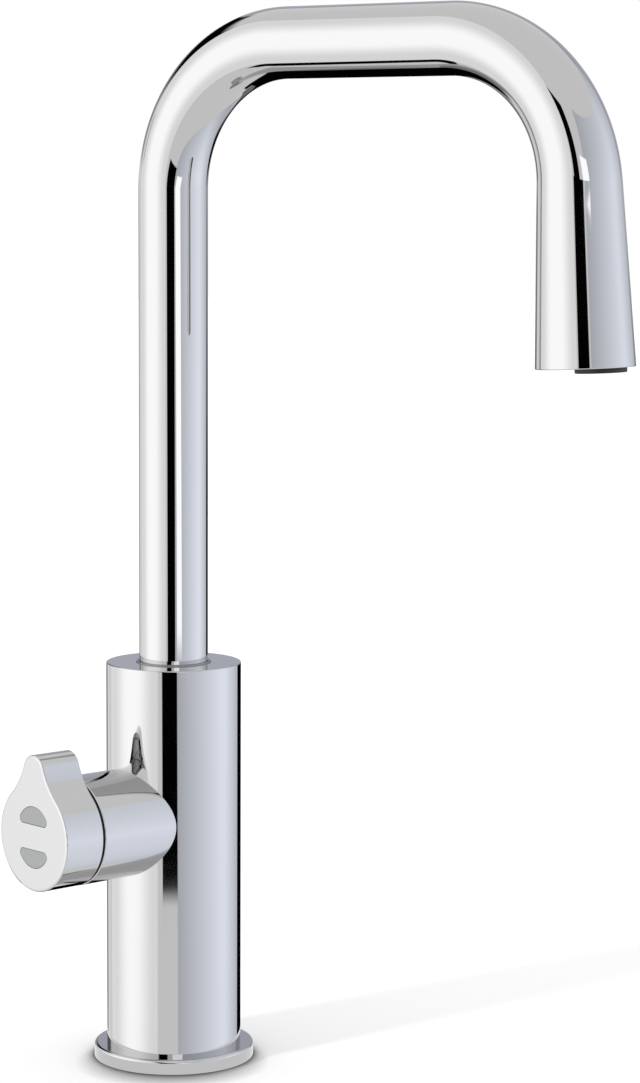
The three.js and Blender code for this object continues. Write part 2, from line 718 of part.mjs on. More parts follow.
// ---- Outlet: insert, aerator and filtered water nozzle, in a frame at the spout's mouth ----
function makeOutlet(parent, insertHoles) {
  const mouth = new THREE.Group();
  mouth.position.set(spoutReach, 0, outletHeight);
  mouth.rotation.y = -outletLean;
  parent.add(mouth);
  const nozzleX = aeratorOffset - aeratorRadius - nozzleGap - nozzleRadius;
  const mouthStation = (height) => ({
    middle: new THREE.Vector3(0, 0, height),
    outward: new THREE.Vector3(1, 0, 0),
  });
  const insertRing = (height) => {
    const flare = flareAt(bendLength + legLength - height);
    return stationRing(mouthStation(height), insertRadius + flare, spoutSides);
  };
  const aeratorTop = aeratorHeight - aeratorDrop;
  const sealTop = aeratorTop + sealHeight;
  const threadRadius = aeratorRadius - aeratorThread;
  const boreFoot = insertRecess - cutOver;
  const aeratorBore = rod(threadRadius + slip, boreFoot, sealTop + slip, hiddenSides);
  const nozzleBore = rod(nozzleRadius + slip, boreFoot, insertRecess + nozzleHeight, smallSides);
  const insert = cut(
    lofted([insertRing(insertTop), insertRing(insertRecess)]),
    upright(aeratorBore, aeratorOffset, 0),
    upright(nozzleBore, nozzleX, 0),
    ...insertHoles,
  );
  add(mouth, 'outlet_insert', insert, blackPlastic());

  const housing = turned([
    [threadRadius - aeratorWall, -aeratorDrop],
    [aeratorRadius, -aeratorDrop],
    [aeratorRadius, insertRecess - slip],
    [threadRadius, insertRecess - slip],
    [threadRadius, aeratorTop],
    [threadRadius - aeratorWall, aeratorTop],
    [threadRadius - aeratorWall, -aeratorDrop],
  ], hiddenSides);
  add(mouth, 'aerator_housing', housing, blackPlastic()).position.x = aeratorOffset;

  const screenRadius = threadRadius - aeratorWall - slip;
  const barPitch = (2 * screenRadius) / (screenBars + 1);
  const slots = [];
  for (let i = 0; i <= screenBars; i += 1) {
    const low = -screenRadius + i * barPitch + screenBarWidth / 2;
    const high = low + barPitch - screenBarWidth;
    const reach = Math.max(Math.abs(low), Math.abs(high));
    const half = Math.sqrt(Math.max((screenRadius - screenBarWidth) ** 2 - reach ** 2, 0));
    if (half < screenBarWidth) continue;
    const slot = new THREE.BoxGeometry(high - low, 2 * half, screenThickness + 2 * cutOver);
    slots.push(welded(slot.translate((low + high) / 2, 0, slip + screenThickness / 2)));
  }
  const screenFoot = slip;
  const screen = cut(rod(screenRadius, screenFoot, screenFoot + screenThickness, hiddenSides), ...slots);
  add(mouth, 'aerator_screen', screen, steel()).position.x = aeratorOffset;

  const seal = ring(threadRadius - aeratorWall, threadRadius, aeratorTop + slip / 2, sealTop, hiddenSides);
  add(mouth, 'aerator_seal', seal, rubber()).position.x = aeratorOffset;
  const nozzleTop = insertRecess + nozzleHeight - slip;
  const nozzle = ring(nozzleRadius - nozzleWall, nozzleRadius, 0, nozzleTop, smallSides);
  add(mouth, 'filtered_water_nozzle', nozzle, steel()).position.x = nozzleX;
}

// ---- Handle outlines ----
// A round body, a small round tip above it and a hollow flank on each side that meets both smoothly.
function teardrop(inset) {
  const tipCentre = handleTipHeight - handleTipRadius;
  const toBody = handleRadius + handleFlankRadius;
  const toTip = handleTipRadius + handleFlankRadius;
  const flankY = (toBody ** 2 - toTip ** 2 + tipCentre ** 2) / (2 * tipCentre);
  const flankX = Math.sqrt(toBody ** 2 - flankY ** 2);
  const bodyTurn = Math.atan2(flankY, flankX);
  const tipTurn = Math.atan2(flankY - tipCentre, flankX);
  const flank = handleFlankRadius + inset;
  return outline(
    arc(0, 0, handleRadius - inset, Math.PI - bodyTurn, Math.PI * 2 + bodyTurn),
    arc(flankX, flankY, flank, Math.PI + bodyTurn, Math.PI + tipTurn),
    arc(0, tipCentre, handleTipRadius - inset, tipTurn, Math.PI - tipTurn),
    arc(-flankX, flankY, flank, -tipTurn, -bodyTurn),
  );
}

// A cut disc with rounded corners whose flat side faces the lever's axis. side is 1 above it, -1 below.
function halfMoon(side, grow) {
  const cornerY = buttonFlat + buttonCorner;
  const cornerRise = cornerY - buttonMiddle;
  const cornerX = Math.sqrt((buttonRadius - buttonCorner) ** 2 - cornerRise ** 2);
  const cornerTurn = Math.atan2(cornerRise, cornerX);
  const round = buttonCorner + grow;
  const upper = [
    arc(cornerX, cornerY, round, -Math.PI / 2, cornerTurn),
    arc(0, buttonMiddle, buttonRadius + grow, cornerTurn, Math.PI - cornerTurn),
    arc(-cornerX, cornerY, round, Math.PI - cornerTurn, Math.PI * 1.5),
  ];
  if (side > 0) return outline(...upper);
  return outline(...upper.map((run) => run.map((point) => point.negate())));
}

// ---- Handle: chromed cup, its core on the spindle, and the keypad behind its face ----
const handleBack = bossReach + seamGap;
const handleFace = handleBack + handleDepth;
const faceInside = handleFace - handleFaceThickness;
const lipFront = faceInside - slip;
const lipBack = lipFront - buttonLipHeight;
const membraneFront = lipBack - buttonTravel - slip;
const membraneBack = membraneFront - membraneThickness;
const boardFront = membraneBack - switchHeight - slip;
const boardBack = boardFront - boardThickness;
const hubFront = boardBack - slip;
const spindleEnd = hubFront - hubEndWall - slip;
const buttons = { select: 1, safety: -1 };

function makeHandle(parent) {
  const frame = leverFrame();
  parent.add(frame);
  const grubPlace = (handleBack + hubFront) / 2;
  const sideways = (geometry) => {
    geometry.rotateX(Math.PI / 2);
    geometry.translate(0, 0, grubPlace);
    return geometry;
  };
  const cavity = plate(teardrop(handleWall), handleBack - cutOver, faceInside);
  const windows = Object.values(buttons).map((side) =>
    plate(halfMoon(side, slip), faceInside - cutOver, handleFace + cutOver));
  const keyHole = sideways(rod(grubScrewRadius + slip, handleRadius / 2, handleRadius + cutOver, holeSides));
  const cup = plate(teardrop(0), handleBack, handleFace, handleBevel);
  add(frame, 'handle_shell', cut(cup, cavity, ...windows, keyHole), chrome());

  const spindleHole = rod(spindleRadius + slip, handleBack - cutOver, spindleEnd + slip, smallSides);
  const grubHole = sideways(rod(grubScrewRadius + slip, 0, handleRadius, holeSides));
  const core = plate(teardrop(handleWall + slip), handleBack, hubFront);
  add(frame, 'handle_core', cut(core, spindleHole, grubHole), brass());
  const grubTip = spindleRadius + slip;
  const grub = sideways(rod(grubScrewRadius, grubTip, grubTip + grubScrewLength, holeSides));
  add(frame, 'grub_screw', grub, steel());

  const spindle = turned([
    [0, driverFoot],
    [driverRadius, driverFoot],
    [driverRadius, driverFoot + driverHeight],
    [spindleRadius, driverFoot + driverHeight],
    [spindleRadius, spindleEnd],
    [0, spindleEnd],
  ], smallSides);
  add(frame, 'spindle', spindle, brass());
  const movingRadius = chamberRadius - 2 * slip;
  add(frame, 'moving_disc', portedDisc(movingRadius, movingDiscFoot, movingDiscTop, 1), ceramic());

  add(frame, 'keypad_board', rod(boardRadius, boardBack, boardFront, hiddenSides), greenBoard());
  add(frame, 'keypad_membrane', rod(boardRadius, membraneBack, membraneFront, hiddenSides), silicone());
  for (const [name, side] of Object.entries(buttons)) {
    const middle = side * (buttonFlat + buttonMiddle + buttonRadius) / 2;
    const box = new THREE.BoxGeometry(switchSize, switchSize, switchHeight);
    box.translate(0, middle, boardFront + switchHeight / 2);
    add(frame, `${name}_switch`, welded(box), blackPlastic());
    const cap = plate(halfMoon(side, 0), lipFront - slip, handleFace);
    const lip = plate(halfMoon(side, slip + buttonLip), lipBack, lipFront);
    add(frame, `${name}_button`, joined(lip, cap), satin());
  }
}

makeBase(root);
makeColumn(root);
makeCore(root);
makeFixing(root);
makeInlets(root);
makeCartridge(root);
makeSwivel(root);
const swivel = new THREE.Group();
swivel.rotation.z = restSwing - Math.PI / 2;
root.add(swivel);
makeOutlet(swivel, makeSpout(swivel));
makeHandle(root);

export default root;
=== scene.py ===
# %% [markdown]
# # A boiling water tap in polished chrome
# The tap is one upright column with a square swivel spout, a side lever with two push buttons in its
# face, and a clamp that pulls it down on the worktop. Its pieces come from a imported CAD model, which
# holds every size and every joint. This file gives the pieces that show a fine skin and a finish.

# %% Load the frame
import itertools
import json
import math

import bpy
from mathutils import Matrix, Vector
from mathutils.geometry import tessellate_polygon


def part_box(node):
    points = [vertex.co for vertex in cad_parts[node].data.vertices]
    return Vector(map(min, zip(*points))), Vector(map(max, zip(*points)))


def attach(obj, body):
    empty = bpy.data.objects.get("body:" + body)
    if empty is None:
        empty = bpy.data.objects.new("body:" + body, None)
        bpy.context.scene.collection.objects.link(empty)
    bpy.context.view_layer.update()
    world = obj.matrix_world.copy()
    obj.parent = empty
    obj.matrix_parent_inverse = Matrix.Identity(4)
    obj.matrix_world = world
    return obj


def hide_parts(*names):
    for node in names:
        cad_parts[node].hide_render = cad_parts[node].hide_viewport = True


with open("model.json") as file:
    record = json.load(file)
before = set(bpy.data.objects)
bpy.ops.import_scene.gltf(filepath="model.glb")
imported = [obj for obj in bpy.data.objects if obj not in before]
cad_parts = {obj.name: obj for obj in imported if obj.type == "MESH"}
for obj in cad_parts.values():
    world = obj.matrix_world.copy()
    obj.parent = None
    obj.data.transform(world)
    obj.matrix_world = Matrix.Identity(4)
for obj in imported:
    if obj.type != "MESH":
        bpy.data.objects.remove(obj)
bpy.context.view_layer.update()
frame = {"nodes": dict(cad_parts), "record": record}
print("CAD nodes:", len(frame["nodes"]))

# %% [markdown]
# ## Sizes
# Everything below is worked out in millimetres, because a tap is drawn in millimetres, and only turned
# into metres when a mesh is made. What the frame can tell is read from its boxes. The rest, such as the
# bend radius, can't be read from a box, so it is named here once. Pieces that move past each other have
# slip between them, and fine_gap is the hairline between two that only meet.

# %% Sizes from the frame, and the few that a box doesn't hold
MM = 0.001


def box_mm(node):
    low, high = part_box(node)
    return low / MM, high / MM


_, flange_high = box_mm("base_flange")
column_low, column_high = box_mm("column_shell")
handle_low, handle_high = box_mm("handle_shell")
collar_low, collar_high = box_mm("swivel_collar")
spout_low, _ = box_mm("spout_tube")

flange_radius = flange_high.x
flange_height = flange_high.z
column_radius = column_high.x
column_top = column_high.z
boss_reach = -column_low.x
lever_height = sum(corner.z for corner in box_mm("handle_bush")) / 2
handle_back = -handle_high.x
handle_face = -handle_low.x
handle_radius = lever_height - handle_low.z
tip_height = handle_high.z - lever_height

boss_radius = 20
column_wall = 2.6
boss_wall = 2.4
top_thickness = 4
tube_radius = 12.8
arm_height = 378.1
tube_wall = 1.4
bend_radius = 52
spout_reach = 176.7
outlet_height = 266.7
outlet_shift = 5.33
outlet_flare = 4.34
rest_swing = math.radians(12.4 - 90)
slip = 0.3
fine_gap = 0.08
print(f"column: {2 * column_radius:.1f} mm across, {column_top:.1f} mm tall")
print(f"arm: {arm_height:.1f} mm above the worktop, lever axis at {lever_height:.1f} mm")

# %% [markdown]
# ## A skin with its own normals
# Chrome shows every fault in a surface, because it reflects the whole room. Smooth shading guesses a
# normal from the faces round a corner, and next to a small fillet that guess bends the reflection in
# the flat beside it. Subdivision would round the crisp edges, so the normals are written with the faces:
# each face is given by its corners and by the true normal of the surface at each of them.

# %% The skin
WELD = 500
WELD_MARGIN = 0.1


class Skin:
    """Faces gathered one by one, in millimetres, with a normal for each corner of each face."""

    def __init__(self):
        self.points = []
        self.known = {}
        self.faces = []
        self.normals = []

    def index(self, point):
        """Corners in the same cell are one corner. There are WELD cells to a millimetre, and one that
        is close to a cell's border counts for both sides."""
        cells = [
            {round(value * WELD - WELD_MARGIN), round(value * WELD + WELD_MARGIN)} for value in point
        ]
        keys = list(itertools.product(*cells))
        for key in keys:
            if key in self.known:
                return self.known[key]
        self.known.update((key, len(self.points)) for key in keys)
        self.points.append(Vector(point))
        return len(self.points) - 1

    def face(self, points, normals):
        corners = []
        for point, normal in zip(points, normals):
            index = self.index(point)
            if all(index != other for other, _ in corners):
                corners.append((index, normal))
        if len(corners) > 2:
            self.faces.append([index for index, _ in corners])
            self.normals += [Vector(normal).normalized() for _, normal in corners]

    def band(self, low, high, low_normals, high_normals):
        """Quads from one ring of points to the next."""
        for j in range(len(low)):
            k = (j + 1) % len(low)
            self.face(
                (low[j], low[k], high[k], high[j]),
                (low_normals[j], low_normals[k], high_normals[k], high_normals[j]),
            )

    def sheet(self, rings, normal):
        """A flat face inside the first ring, with the other rings as its holes."""
        flat = [point for ring in rings for point in ring]
        for triangle in tessellate_polygon(rings):
            a, b, c = (flat[i] for i in triangle)
            facing = (b - a).cross(c - a).dot(normal)
            self.face((a, b, c) if facing > 0 else (c, b, a), (normal, normal, normal))


def mesh_object(name, points, faces):
    mesh = bpy.data.meshes.new(name)
    mesh.from_pydata(points, [], faces)
    made = bpy.data.objects.new(name, mesh)
    bpy.context.scene.collection.objects.link(made)
    return made


def piece(name, skin, body, slot, node):
    """Makes the skin a mesh object that rides on a body, and hides the CAD node that it stands for."""
    made = mesh_object(name, [point * MM for point in skin.points], skin.faces)
    made.data.polygons.foreach_set("use_smooth", [True] * len(skin.faces))
    made.data.normals_split_custom_set(skin.normals)
    made.data.materials.append(FINISHES[slot])
    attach(made, body)
    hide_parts(node)
    print(f"{name}: {len(skin.faces)} faces")


# %% [markdown]
# ## Profiles and rims
# Nearly every piece here is a profile carried round a rim. On turned pieces the rim is a circle, on the
# lever it is a tear-drop and on the buttons a half-moon. A lathe modifier only knows circles, so both
# are small functions. A profile is a run of corners, each with its own rounding, and a rim is a run of
# arcs that can be offset. Real machined edges are never sharp: they are crisp as they leave the tool, or
# broken by a few tenths of a millimetre, and that rounding is what catches the light.

# %% Profiles
FILLET_STEPS = 5
CRISP = 0.1
FINE = 0.2
BROKEN = 0.3


def right_of(direction):
    return Vector((direction.y, -direction.x)).normalized()


def profile(*corners, closed=True):
    """Corners are (offset, height, rounding), anticlockwise.
    Gives (point, normal before, normal after)."""
    points = []
    for i, (offset, height, rounding) in enumerate(corners):
        here = Vector((offset, height))
        before = here - Vector(corners[i - 1][:2])
        after = Vector(corners[(i + 1) % len(corners)][:2]) - here
        if not closed and i == 0:
            before = after
        if not closed and i == len(corners) - 1:
            after = before
        if rounding == 0:
            points.append((here, right_of(before), right_of(after)))
            continue
        turn = math.atan2(before.x * after.y - before.y * after.x, before.dot(after))
        bulge = math.copysign(rounding, turn)
        start = here - before.normalized() * rounding * math.tan(abs(turn) / 2)
        centre = start - right_of(before) * bulge
        for k in range(FILLET_STEPS + 1):
            normal = right_of(before)
            normal.rotate(Matrix.Rotation(turn * k / FILLET_STEPS, 2))
            points.append((centre + normal * bulge, normal, normal))
    return points


# %% Rims
def circle_rim(sides, shift=0.5):
    turns = [2 * math.pi * (j + shift) / sides for j in range(sides)]
    normals = [Vector((math.cos(turn), math.sin(turn))) for turn in turns]
    return lambda offset: [(normal * offset, normal) for normal in normals]


def arc_rim(arcs, step=math.radians(3), flip=1):
    """Arcs are (x, y, radius, from, to). One that turns clockwise is hollow.
    With flip -1 the rim is turned half round."""

    def rim(offset):
        points = []
        for x, y, radius, first, last in arcs:
            count = max(1, math.ceil(abs(last - first) / step))
            bulge = 1 if last > first else -1
            for k in range(count + 1):
                turn = first + (last - first) * k / count
                ray = Vector((math.cos(turn), math.sin(turn)))
                point = Vector((x, y)) + ray * (radius + bulge * offset)
                points.append((point * flip, ray * bulge * flip))
        return points

    return rim


# %% Carrying a profile round a rim
def by(matrix):
    """A place: a function that moves a point and turns its normal."""
    turn = matrix.to_3x3()
    return lambda point, normal: (matrix @ point, turn @ normal)


UPRIGHT = by(Matrix.Identity(4))


def ring_at(rim, offset, height, place, side=Vector((1, 0))):
    """One ring of points, and the normals that stand on it, where side is (out from the rim, up)."""
    points = []
    normals = []
    for at, out in rim(offset):
        point, normal = place(
            Vector((at.x, at.y, height)),
            Vector((out.x * side.x, out.y * side.x, side.y)),
        )
        points.append(point)
        normals.append(normal)
    return points, normals


def lofted(skin, rim, edge, place=UPRIGHT, closed=True):
    """Gives the first and the last ring."""
    low = [ring_at(rim, point.x, point.y, place, after) for point, _, after in edge]
    high = [ring_at(rim, point.x, point.y, place, before) for point, before, _ in edge]
    count = len(edge)
    for i in range(count if closed else count - 1):
        k = (i + 1) % count
        skin.band(low[i][0], high[k][0], low[i][1], high[k][1])
    return low[0][0], low[-1][0]


def closed_loft(rim, *corners, place=UPRIGHT):
    """A skin of its own: a closed profile carried round a rim."""
    skin = Skin()
    lofted(skin, rim, profile(*corners), place)
    return skin


def open_loft(skin, rim, *corners, place=UPRIGHT):
    """Adds an open profile, carried round a rim, to a skin. Gives its first and its last ring."""
    return lofted(skin, rim, profile(*corners, closed=False), place, closed=False)


# %% [markdown]
# ## Materials
# The tap is chrome-plated brass, and almost everything that shows is that chrome. A finish is a shader
# whose numbers start from what the material really is. Colours are written the way a picture shows
# them, as sRGB hex, and one function turns them into the linear values that Blender works with.

# %% Colours and nodes
def linear(hex_colour):
    values = [int(hex_colour[i:i + 2], 16) / 255 for i in (1, 3, 5)]
    straight = [v / 12.92 if v <= 0.04045 else ((v + 0.055) / 1.055) ** 2.4 for v in values]
    return (*straight, 1)


def add_node(tree, kind, inputs=None, **settings):
    """Adds a node. An input is given a value, an output to link to, or a node for its first output."""
    made = tree.nodes.new(kind)
    for name, value in settings.items():
        setattr(made, name, value)
    for socket, value in (inputs or {}).items():
        if isinstance(value, bpy.types.Node):
            tree.links.new(value.outputs[0], made.inputs[socket])
        elif isinstance(value, bpy.types.NodeSocket):
            tree.links.new(value, made.inputs[socket])
        else:
            made.inputs[socket].default_value = value
    return made


# %% One finish
NOISE_LOW = 0.3
NOISE_HIGH = 0.7


def finish(name, colour, roughness, spread, grain_mm, relief_mm=0, tint=None, **shader):
    """Roughness wanders by spread and colour wanders to tint over a grain of this size and relief.
    Nearly all of the noise lies between NOISE_LOW and NOISE_HIGH."""
    material = bpy.data.materials.new(name)
    material.use_nodes = True
    tree = material.node_tree
    tree.nodes.clear()
    place = add_node(tree, "ShaderNodeTexCoord").outputs["Object"]
    grain = add_node(tree, "ShaderNodeTexNoise", {"Vector": place, "Scale": 1 / (grain_mm * MM)})
    rough = add_node(tree, "ShaderNodeMapRange", {
        "Value": grain.outputs["Fac"],
        "From Min": NOISE_LOW,
        "From Max": NOISE_HIGH,
        "To Min": roughness - spread,
        "To Max": roughness + spread,
    })
    inputs = {"Roughness": rough.outputs["Result"], "Base Color": linear(colour), **shader}
    if tint:
        mixed = add_node(tree, "ShaderNodeMix", {
            0: grain.outputs["Fac"], 6: linear(colour), 7: linear(tint),
        }, data_type="RGBA")
        inputs["Base Color"] = mixed.outputs[2]
    if relief_mm:
        bump = add_node(tree, "ShaderNodeBump", {
            "Height": grain.outputs["Fac"], "Distance": relief_mm * MM,
        })
        inputs["Normal"] = bump.outputs["Normal"]
    surface = add_node(tree, "ShaderNodeBsdfPrincipled", inputs)
    add_node(tree, "ShaderNodeOutputMaterial", {"Surface": surface.outputs["BSDF"]})
    return material


# %% [markdown]
# ## The finishes
# The tap needs four looks in metal and six others, from mirror chrome to green circuit board. Each starts
# from how the real surface was made. Metals keep the standard index of refraction, and the others have
# their own. Grain and tool marks finer than a few tenths of a millimetre wouldn't show, so they are drawn
# at the finest size that does.

# %% Polished and satin chrome
# Polished chrome plate: cast brass is buffed to a mirror, then nickel and a thin bright layer of chrome
# are plated on. It gives the eye a hard, cool grey mirror with crisp edges in it. A good plate has a
# roughness of 0 to 0.05, and it wavers over some 14 mm, as wide as a buffing mop's face leaves it.
CHROME = "#BEBEBE"
FINISHES = {}
FINISHES["chrome"] = finish("polished_chrome_plate", CHROME, 0.03, 0.01, 14, Metallic=1.0)
# Satin chrome plate: the same plate on metal that was blasted with fine glass beads. It gives an even,
# soft grey with no picture in it, at a roughness of 0.3 to 0.5. The dents are drawn 0.4 mm wide.
FINISHES["satin_metal"] = finish("satin_chrome_plate", "#969898", 0.42, 0.05, 0.4, 0.01, Metallic=1.0)

# %% Bare brass and stainless steel
# Machined brass: turned on a lathe and left bare. It gives a warm yellow shine that breaks up on the tool
# marks, at a roughness of 0.2 to 0.4, and it dulls to a browner yellow in patches where it was handled.
FINISHES["brass"] = finish("machined_brass", "#C9A55E", 0.32, 0.08, 0.8, 0.02, "#B8924C", Metallic=1.0)
# Stainless steel: stamped from rolled sheet and tumbled to take the burrs off. It gives a neutral grey
# with a blurred shine, at a roughness of 0.2 to 0.4.
FINISHES["steel"] = finish("stainless_steel", "#B7B9BB", 0.28, 0.06, 0.6, 0.01, Metallic=1.0)

# %% Rubber, plastics and silicone
# Moulded rubber: pressed in a hot steel mould, filled with soot. It gives a matt near-black with only a
# dusty sheen, at a roughness of 0.7 to 0.9.
FINISHES["rubber"] = finish("moulded_rubber", "#1B1B1D", 0.75, 0.06, 0.3, 0.02, "#242427", IOR=1.52)
# Black ABS: injection-moulded in a spark-eroded mould, whose fine pits it copies. It gives a deep black
# with a dull shine along its edges, at a roughness of 0.4 to 0.6.
FINISHES["black_plastic"] = finish("black_abs", "#0D0D0E", 0.55, 0.06, 0.25, 0.01, "#141416", IOR=1.54)
# Natural acetal: moulded without any dye, and waxy. It gives a creamy white with a soft shine.
FINISHES["acetal"] = finish("natural_acetal", "#E8E5DC", 0.42, 0.05, 0.5, 0.01, "#E0DCD1", IOR=1.48)
# Silicone: cured in a polished mould and slightly tacky. It gives a milky pale grey with a slack shine.
FINISHES["silicone"] = finish("milky_silicone", "#C9CCD0", 0.55, 0.05, 0.6, 0.01, "#BFC3C8", IOR=1.41)

# %% Ceramic and circuit board
# Lapped alumina: pressed, fired and ground flat until two discs hold water between them. It gives a cold,
# almost glassy white, at a roughness of 0.1 to 0.2.
FINISHES["ceramic"] = finish("lapped_alumina", "#F2EFE8", 0.18, 0.03, 0.2, 0, "#ECE8DF", IOR=1.76)
# Green solder mask: epoxy lacquer printed on glass-fibre board. It gives a deep green with a dull gloss,
# and the weave beneath makes the colour waver.
FINISHES["circuit_board"] = finish(
    "green_solder_mask", "#1E6A3B", 0.4, 0.05, 0.5, 0.01, "#185A31", IOR=1.55
)

# %% [markdown]
# The record names a material slot for each solid. Solids inside the tap are already the right shape, so
# they keep their mesh and only get the finish of their slot. The pieces that show are made below.

# %% Every CAD node gets the finish of its slot
for part in frame["record"]["subparts"]:
    node_mesh = frame["nodes"][part["node"]].data
    node_mesh.materials.clear()
    node_mesh.materials.append(FINISHES[part["material_slot"]])

# %% [markdown]
# ## Base flange
# The flange is a turned ring that covers the tap hole. Its top edge is rounded by a good millimetre, and
# the rounding gathers light from the whole room into one bright line right round the tap.

# %% Base flange
SHOW_SIDES = 192
flange_rounding = 1.2
flange_bore = 16.3
groove_inner = 20.7
groove_outer = 26.3
groove_depth = 1.9
flange = closed_loft(
    circle_rim(SHOW_SIDES),
    (flange_bore, 0, BROKEN),
    (groove_inner, 0, 0),
    (groove_inner, groove_depth, 0),
    (groove_outer, groove_depth, 0),
    (groove_outer, 0, 0),
    (flange_radius, 0, FINE),
    (flange_radius, flange_height, flange_rounding),
    (flange_bore, flange_height, BROKEN),
)
piece("base_flange_ring", flange, "column", "chrome", "base_flange")

# %% [markdown]
# ## Column and boss
# The lever's boss is brazed into the side of the column, and the joint is polished until the two
# cylinders meet in one crisp saddle line. A boolean would leave slivers along that line, and slivers
# show in chrome. So the column's wall is made of upright strips whose edges meet the saddle at the
# boss's own points, and the boss starts from those same points.

# %% Standing pieces up along the lever's axis
def lever_place(point, normal):
    """The lever's pieces are drawn flat, and stood up along its axis, which runs to -X."""
    return (
        Vector((-point.z, -point.x, lever_height + point.y)),
        Vector((-normal.z, -normal.x, normal.y)),
    )


# %% The saddle line and the wall round it
SADDLE_STEPS = 48
BACK_STRIPS = 100
boss_rim = circle_rim(2 * SADDLE_STEPS, 0)


def saddle(radius, hole):
    """Where a hole along the lever's axis meets a cylinder about Z, and the normals of the hole there."""
    points = []
    normals = []
    for at, out in boss_rim(hole):
        depth = math.sqrt(radius ** 2 - at.x ** 2)
        point, normal = lever_place(Vector((at.x, at.y, depth)), Vector((out.x, out.y, 0)))
        points.append(point)
        normals.append(normal)
    return points, normals


def wall_round(skin, radius, hole, low, high, facing):
    """Upright strips of a cylinder about Z, from low to high, round the hole. Gives the strips' edges."""
    half = len(hole) // 2
    edges = [(hole[-j], hole[j]) for j in range(half, -1, -1)]
    first = math.atan2(hole[0].y, hole[0].x)
    last = math.atan2(hole[half].y, hole[half].x)
    for j in range(1, BACK_STRIPS):
        turn = first + (last - first) * j / BACK_STRIPS
        point = Vector((radius * math.cos(turn), radius * math.sin(turn), lever_height))
        edges.append((point, point))
    for (foot, top), (next_foot, next_top) in zip(edges, edges[1:] + edges[:1]):
        out = Vector((foot.x, foot.y, 0)) * facing
        next_out = Vector((next_foot.x, next_foot.y, 0)) * facing
        lower = [Vector((foot.x, foot.y, low)), Vector((next_foot.x, next_foot.y, low)), next_foot, foot]
        upper = [top, next_top, Vector((next_top.x, next_top.y, high)), Vector((top.x, top.y, high))]
        for corners in (lower, upper):
            normals = [out, next_out, next_out, out]
            if facing < 0:
                corners.reverse()
                normals.reverse()
            skin.face(corners, normals)
    return [Vector((foot.x, foot.y, 0)).normalized() for foot, _ in edges]


# %% Column and boss
column_edge = 0.4
edge_room = 2
collar_wall = 0.8
column_bore = column_radius - column_wall
boss_bore = boss_radius - boss_wall
ceiling = column_top - top_thickness
collar_inner = tube_radius + fine_gap
collar_outer = tube_radius + slip + collar_wall
top_hole = collar_outer + fine_gap

column = Skin()
outer_saddle, outer_out = saddle(column_radius, boss_radius)
inner_saddle, inner_out = saddle(column_bore, boss_bore)
shoulder = column_top - edge_room
outer_rays = wall_round(column, column_radius, outer_saddle, flange_height, shoulder, 1)
inner_rays = wall_round(column, column_bore, inner_saddle, flange_height, ceiling, -1)


def ray_ring(rays, radius, height):
    return [Vector((ray.x * radius, ray.y * radius, height)) for ray in rays]


def flat_band(skin, inner, outer):
    down = [Vector((0, 0, -1))] * len(inner)
    skin.band(inner, outer, down, down)


def column_rim(offset):
    return [(ray.xy * offset, ray.xy) for ray in outer_rays]


column_foot = [
    ray_ring(rays, radius, flange_height)
    for rays, radius in ((inner_rays, column_bore), (outer_rays, column_radius))
]
flat_band(column, *column_foot)
_, ceiling_ring = open_loft(
    column, column_rim,
    (column_radius, shoulder, 0),
    (column_radius, column_top, column_edge),
    (top_hole, column_top, FINE),
    (top_hole, ceiling, 0),
)
flat_band(column, ceiling_ring, ray_ring(inner_rays, column_bore, ceiling))

boss_start, boss_end = open_loft(
    column, boss_rim,
    (boss_radius, boss_reach - edge_room, 0),
    (boss_radius, boss_reach, column_edge),
    (boss_bore, boss_reach, FINE),
    (boss_bore, boss_reach - edge_room, 0),
    place=lever_place,
)
column.band(outer_saddle, boss_start, outer_out, outer_out)
inward = [-normal for normal in inner_out]
column.band(boss_end, inner_saddle, inward, inward)
piece("column_with_boss", column, "column", "chrome", "column_shell")

# %% [markdown]
# ## Swivel collar
# Where the spout enters the column a thin satin ring fills the gap and carries the spout sideways. It
# stands a few tenths of a millimetre proud, which is enough to draw a fine line round the tube.

# %% Swivel collar
collar = closed_loft(
    circle_rim(SHOW_SIDES),
    (collar_inner, collar_low.z, 0),
    (collar_high.x, collar_low.z, 0),
    (collar_high.x, ceiling - slip, 0),
    (collar_outer, ceiling - slip, 0),
    (collar_outer, collar_high.z, FINE),
    (collar_inner, collar_high.z, FINE),
)
piece("swivel_collar_ring", collar, "column", "satin_metal", "swivel_collar")

# %% [markdown]
# ## Spout
# The spout is one tube, bent twice. From the second bend on it opens as a slender cone, so that its
# mouth has room for the mixed water and the filtered water side by side. A bevelled curve gives its
# normals no tilt where the radius grows, and chrome shows that, so the tube is drawn straight, as the
# pipe was before it went into the bender, and a small function bends every point and turns every normal.

# %% The bends as a place
SWING = Matrix.Rotation(rest_swing, 3, "Z")
bend_centre = arm_height - bend_radius


def leg_length(lean):
    return (bend_centre + bend_radius * math.sin(lean) - outlet_height) / math.cos(lean)


def bend_length(lean):
    return bend_radius * (math.pi / 2 - lean)


LEAN_PASSES = 12
lean = 0
for _ in range(LEAN_PASSES):
    lean = math.atan2(outlet_shift, leg_length(lean) + bend_length(lean) / 2)
arm_end = spout_reach - bend_radius * math.cos(lean) - leg_length(lean) * math.sin(lean)
first_bend = bend_centre
arm_start = first_bend + bend_length(0)
second_bend = arm_start + arm_end - bend_radius
leg_start = second_bend + bend_length(lean)
mouth = leg_start + leg_length(lean)
flare_slope = outlet_flare / (leg_length(lean) + bend_length(lean) / 2)
print(f"the leg leans {math.degrees(lean):.2f} degrees")
print(f"the tube is {mouth - spout_low.z:.0f} mm long")


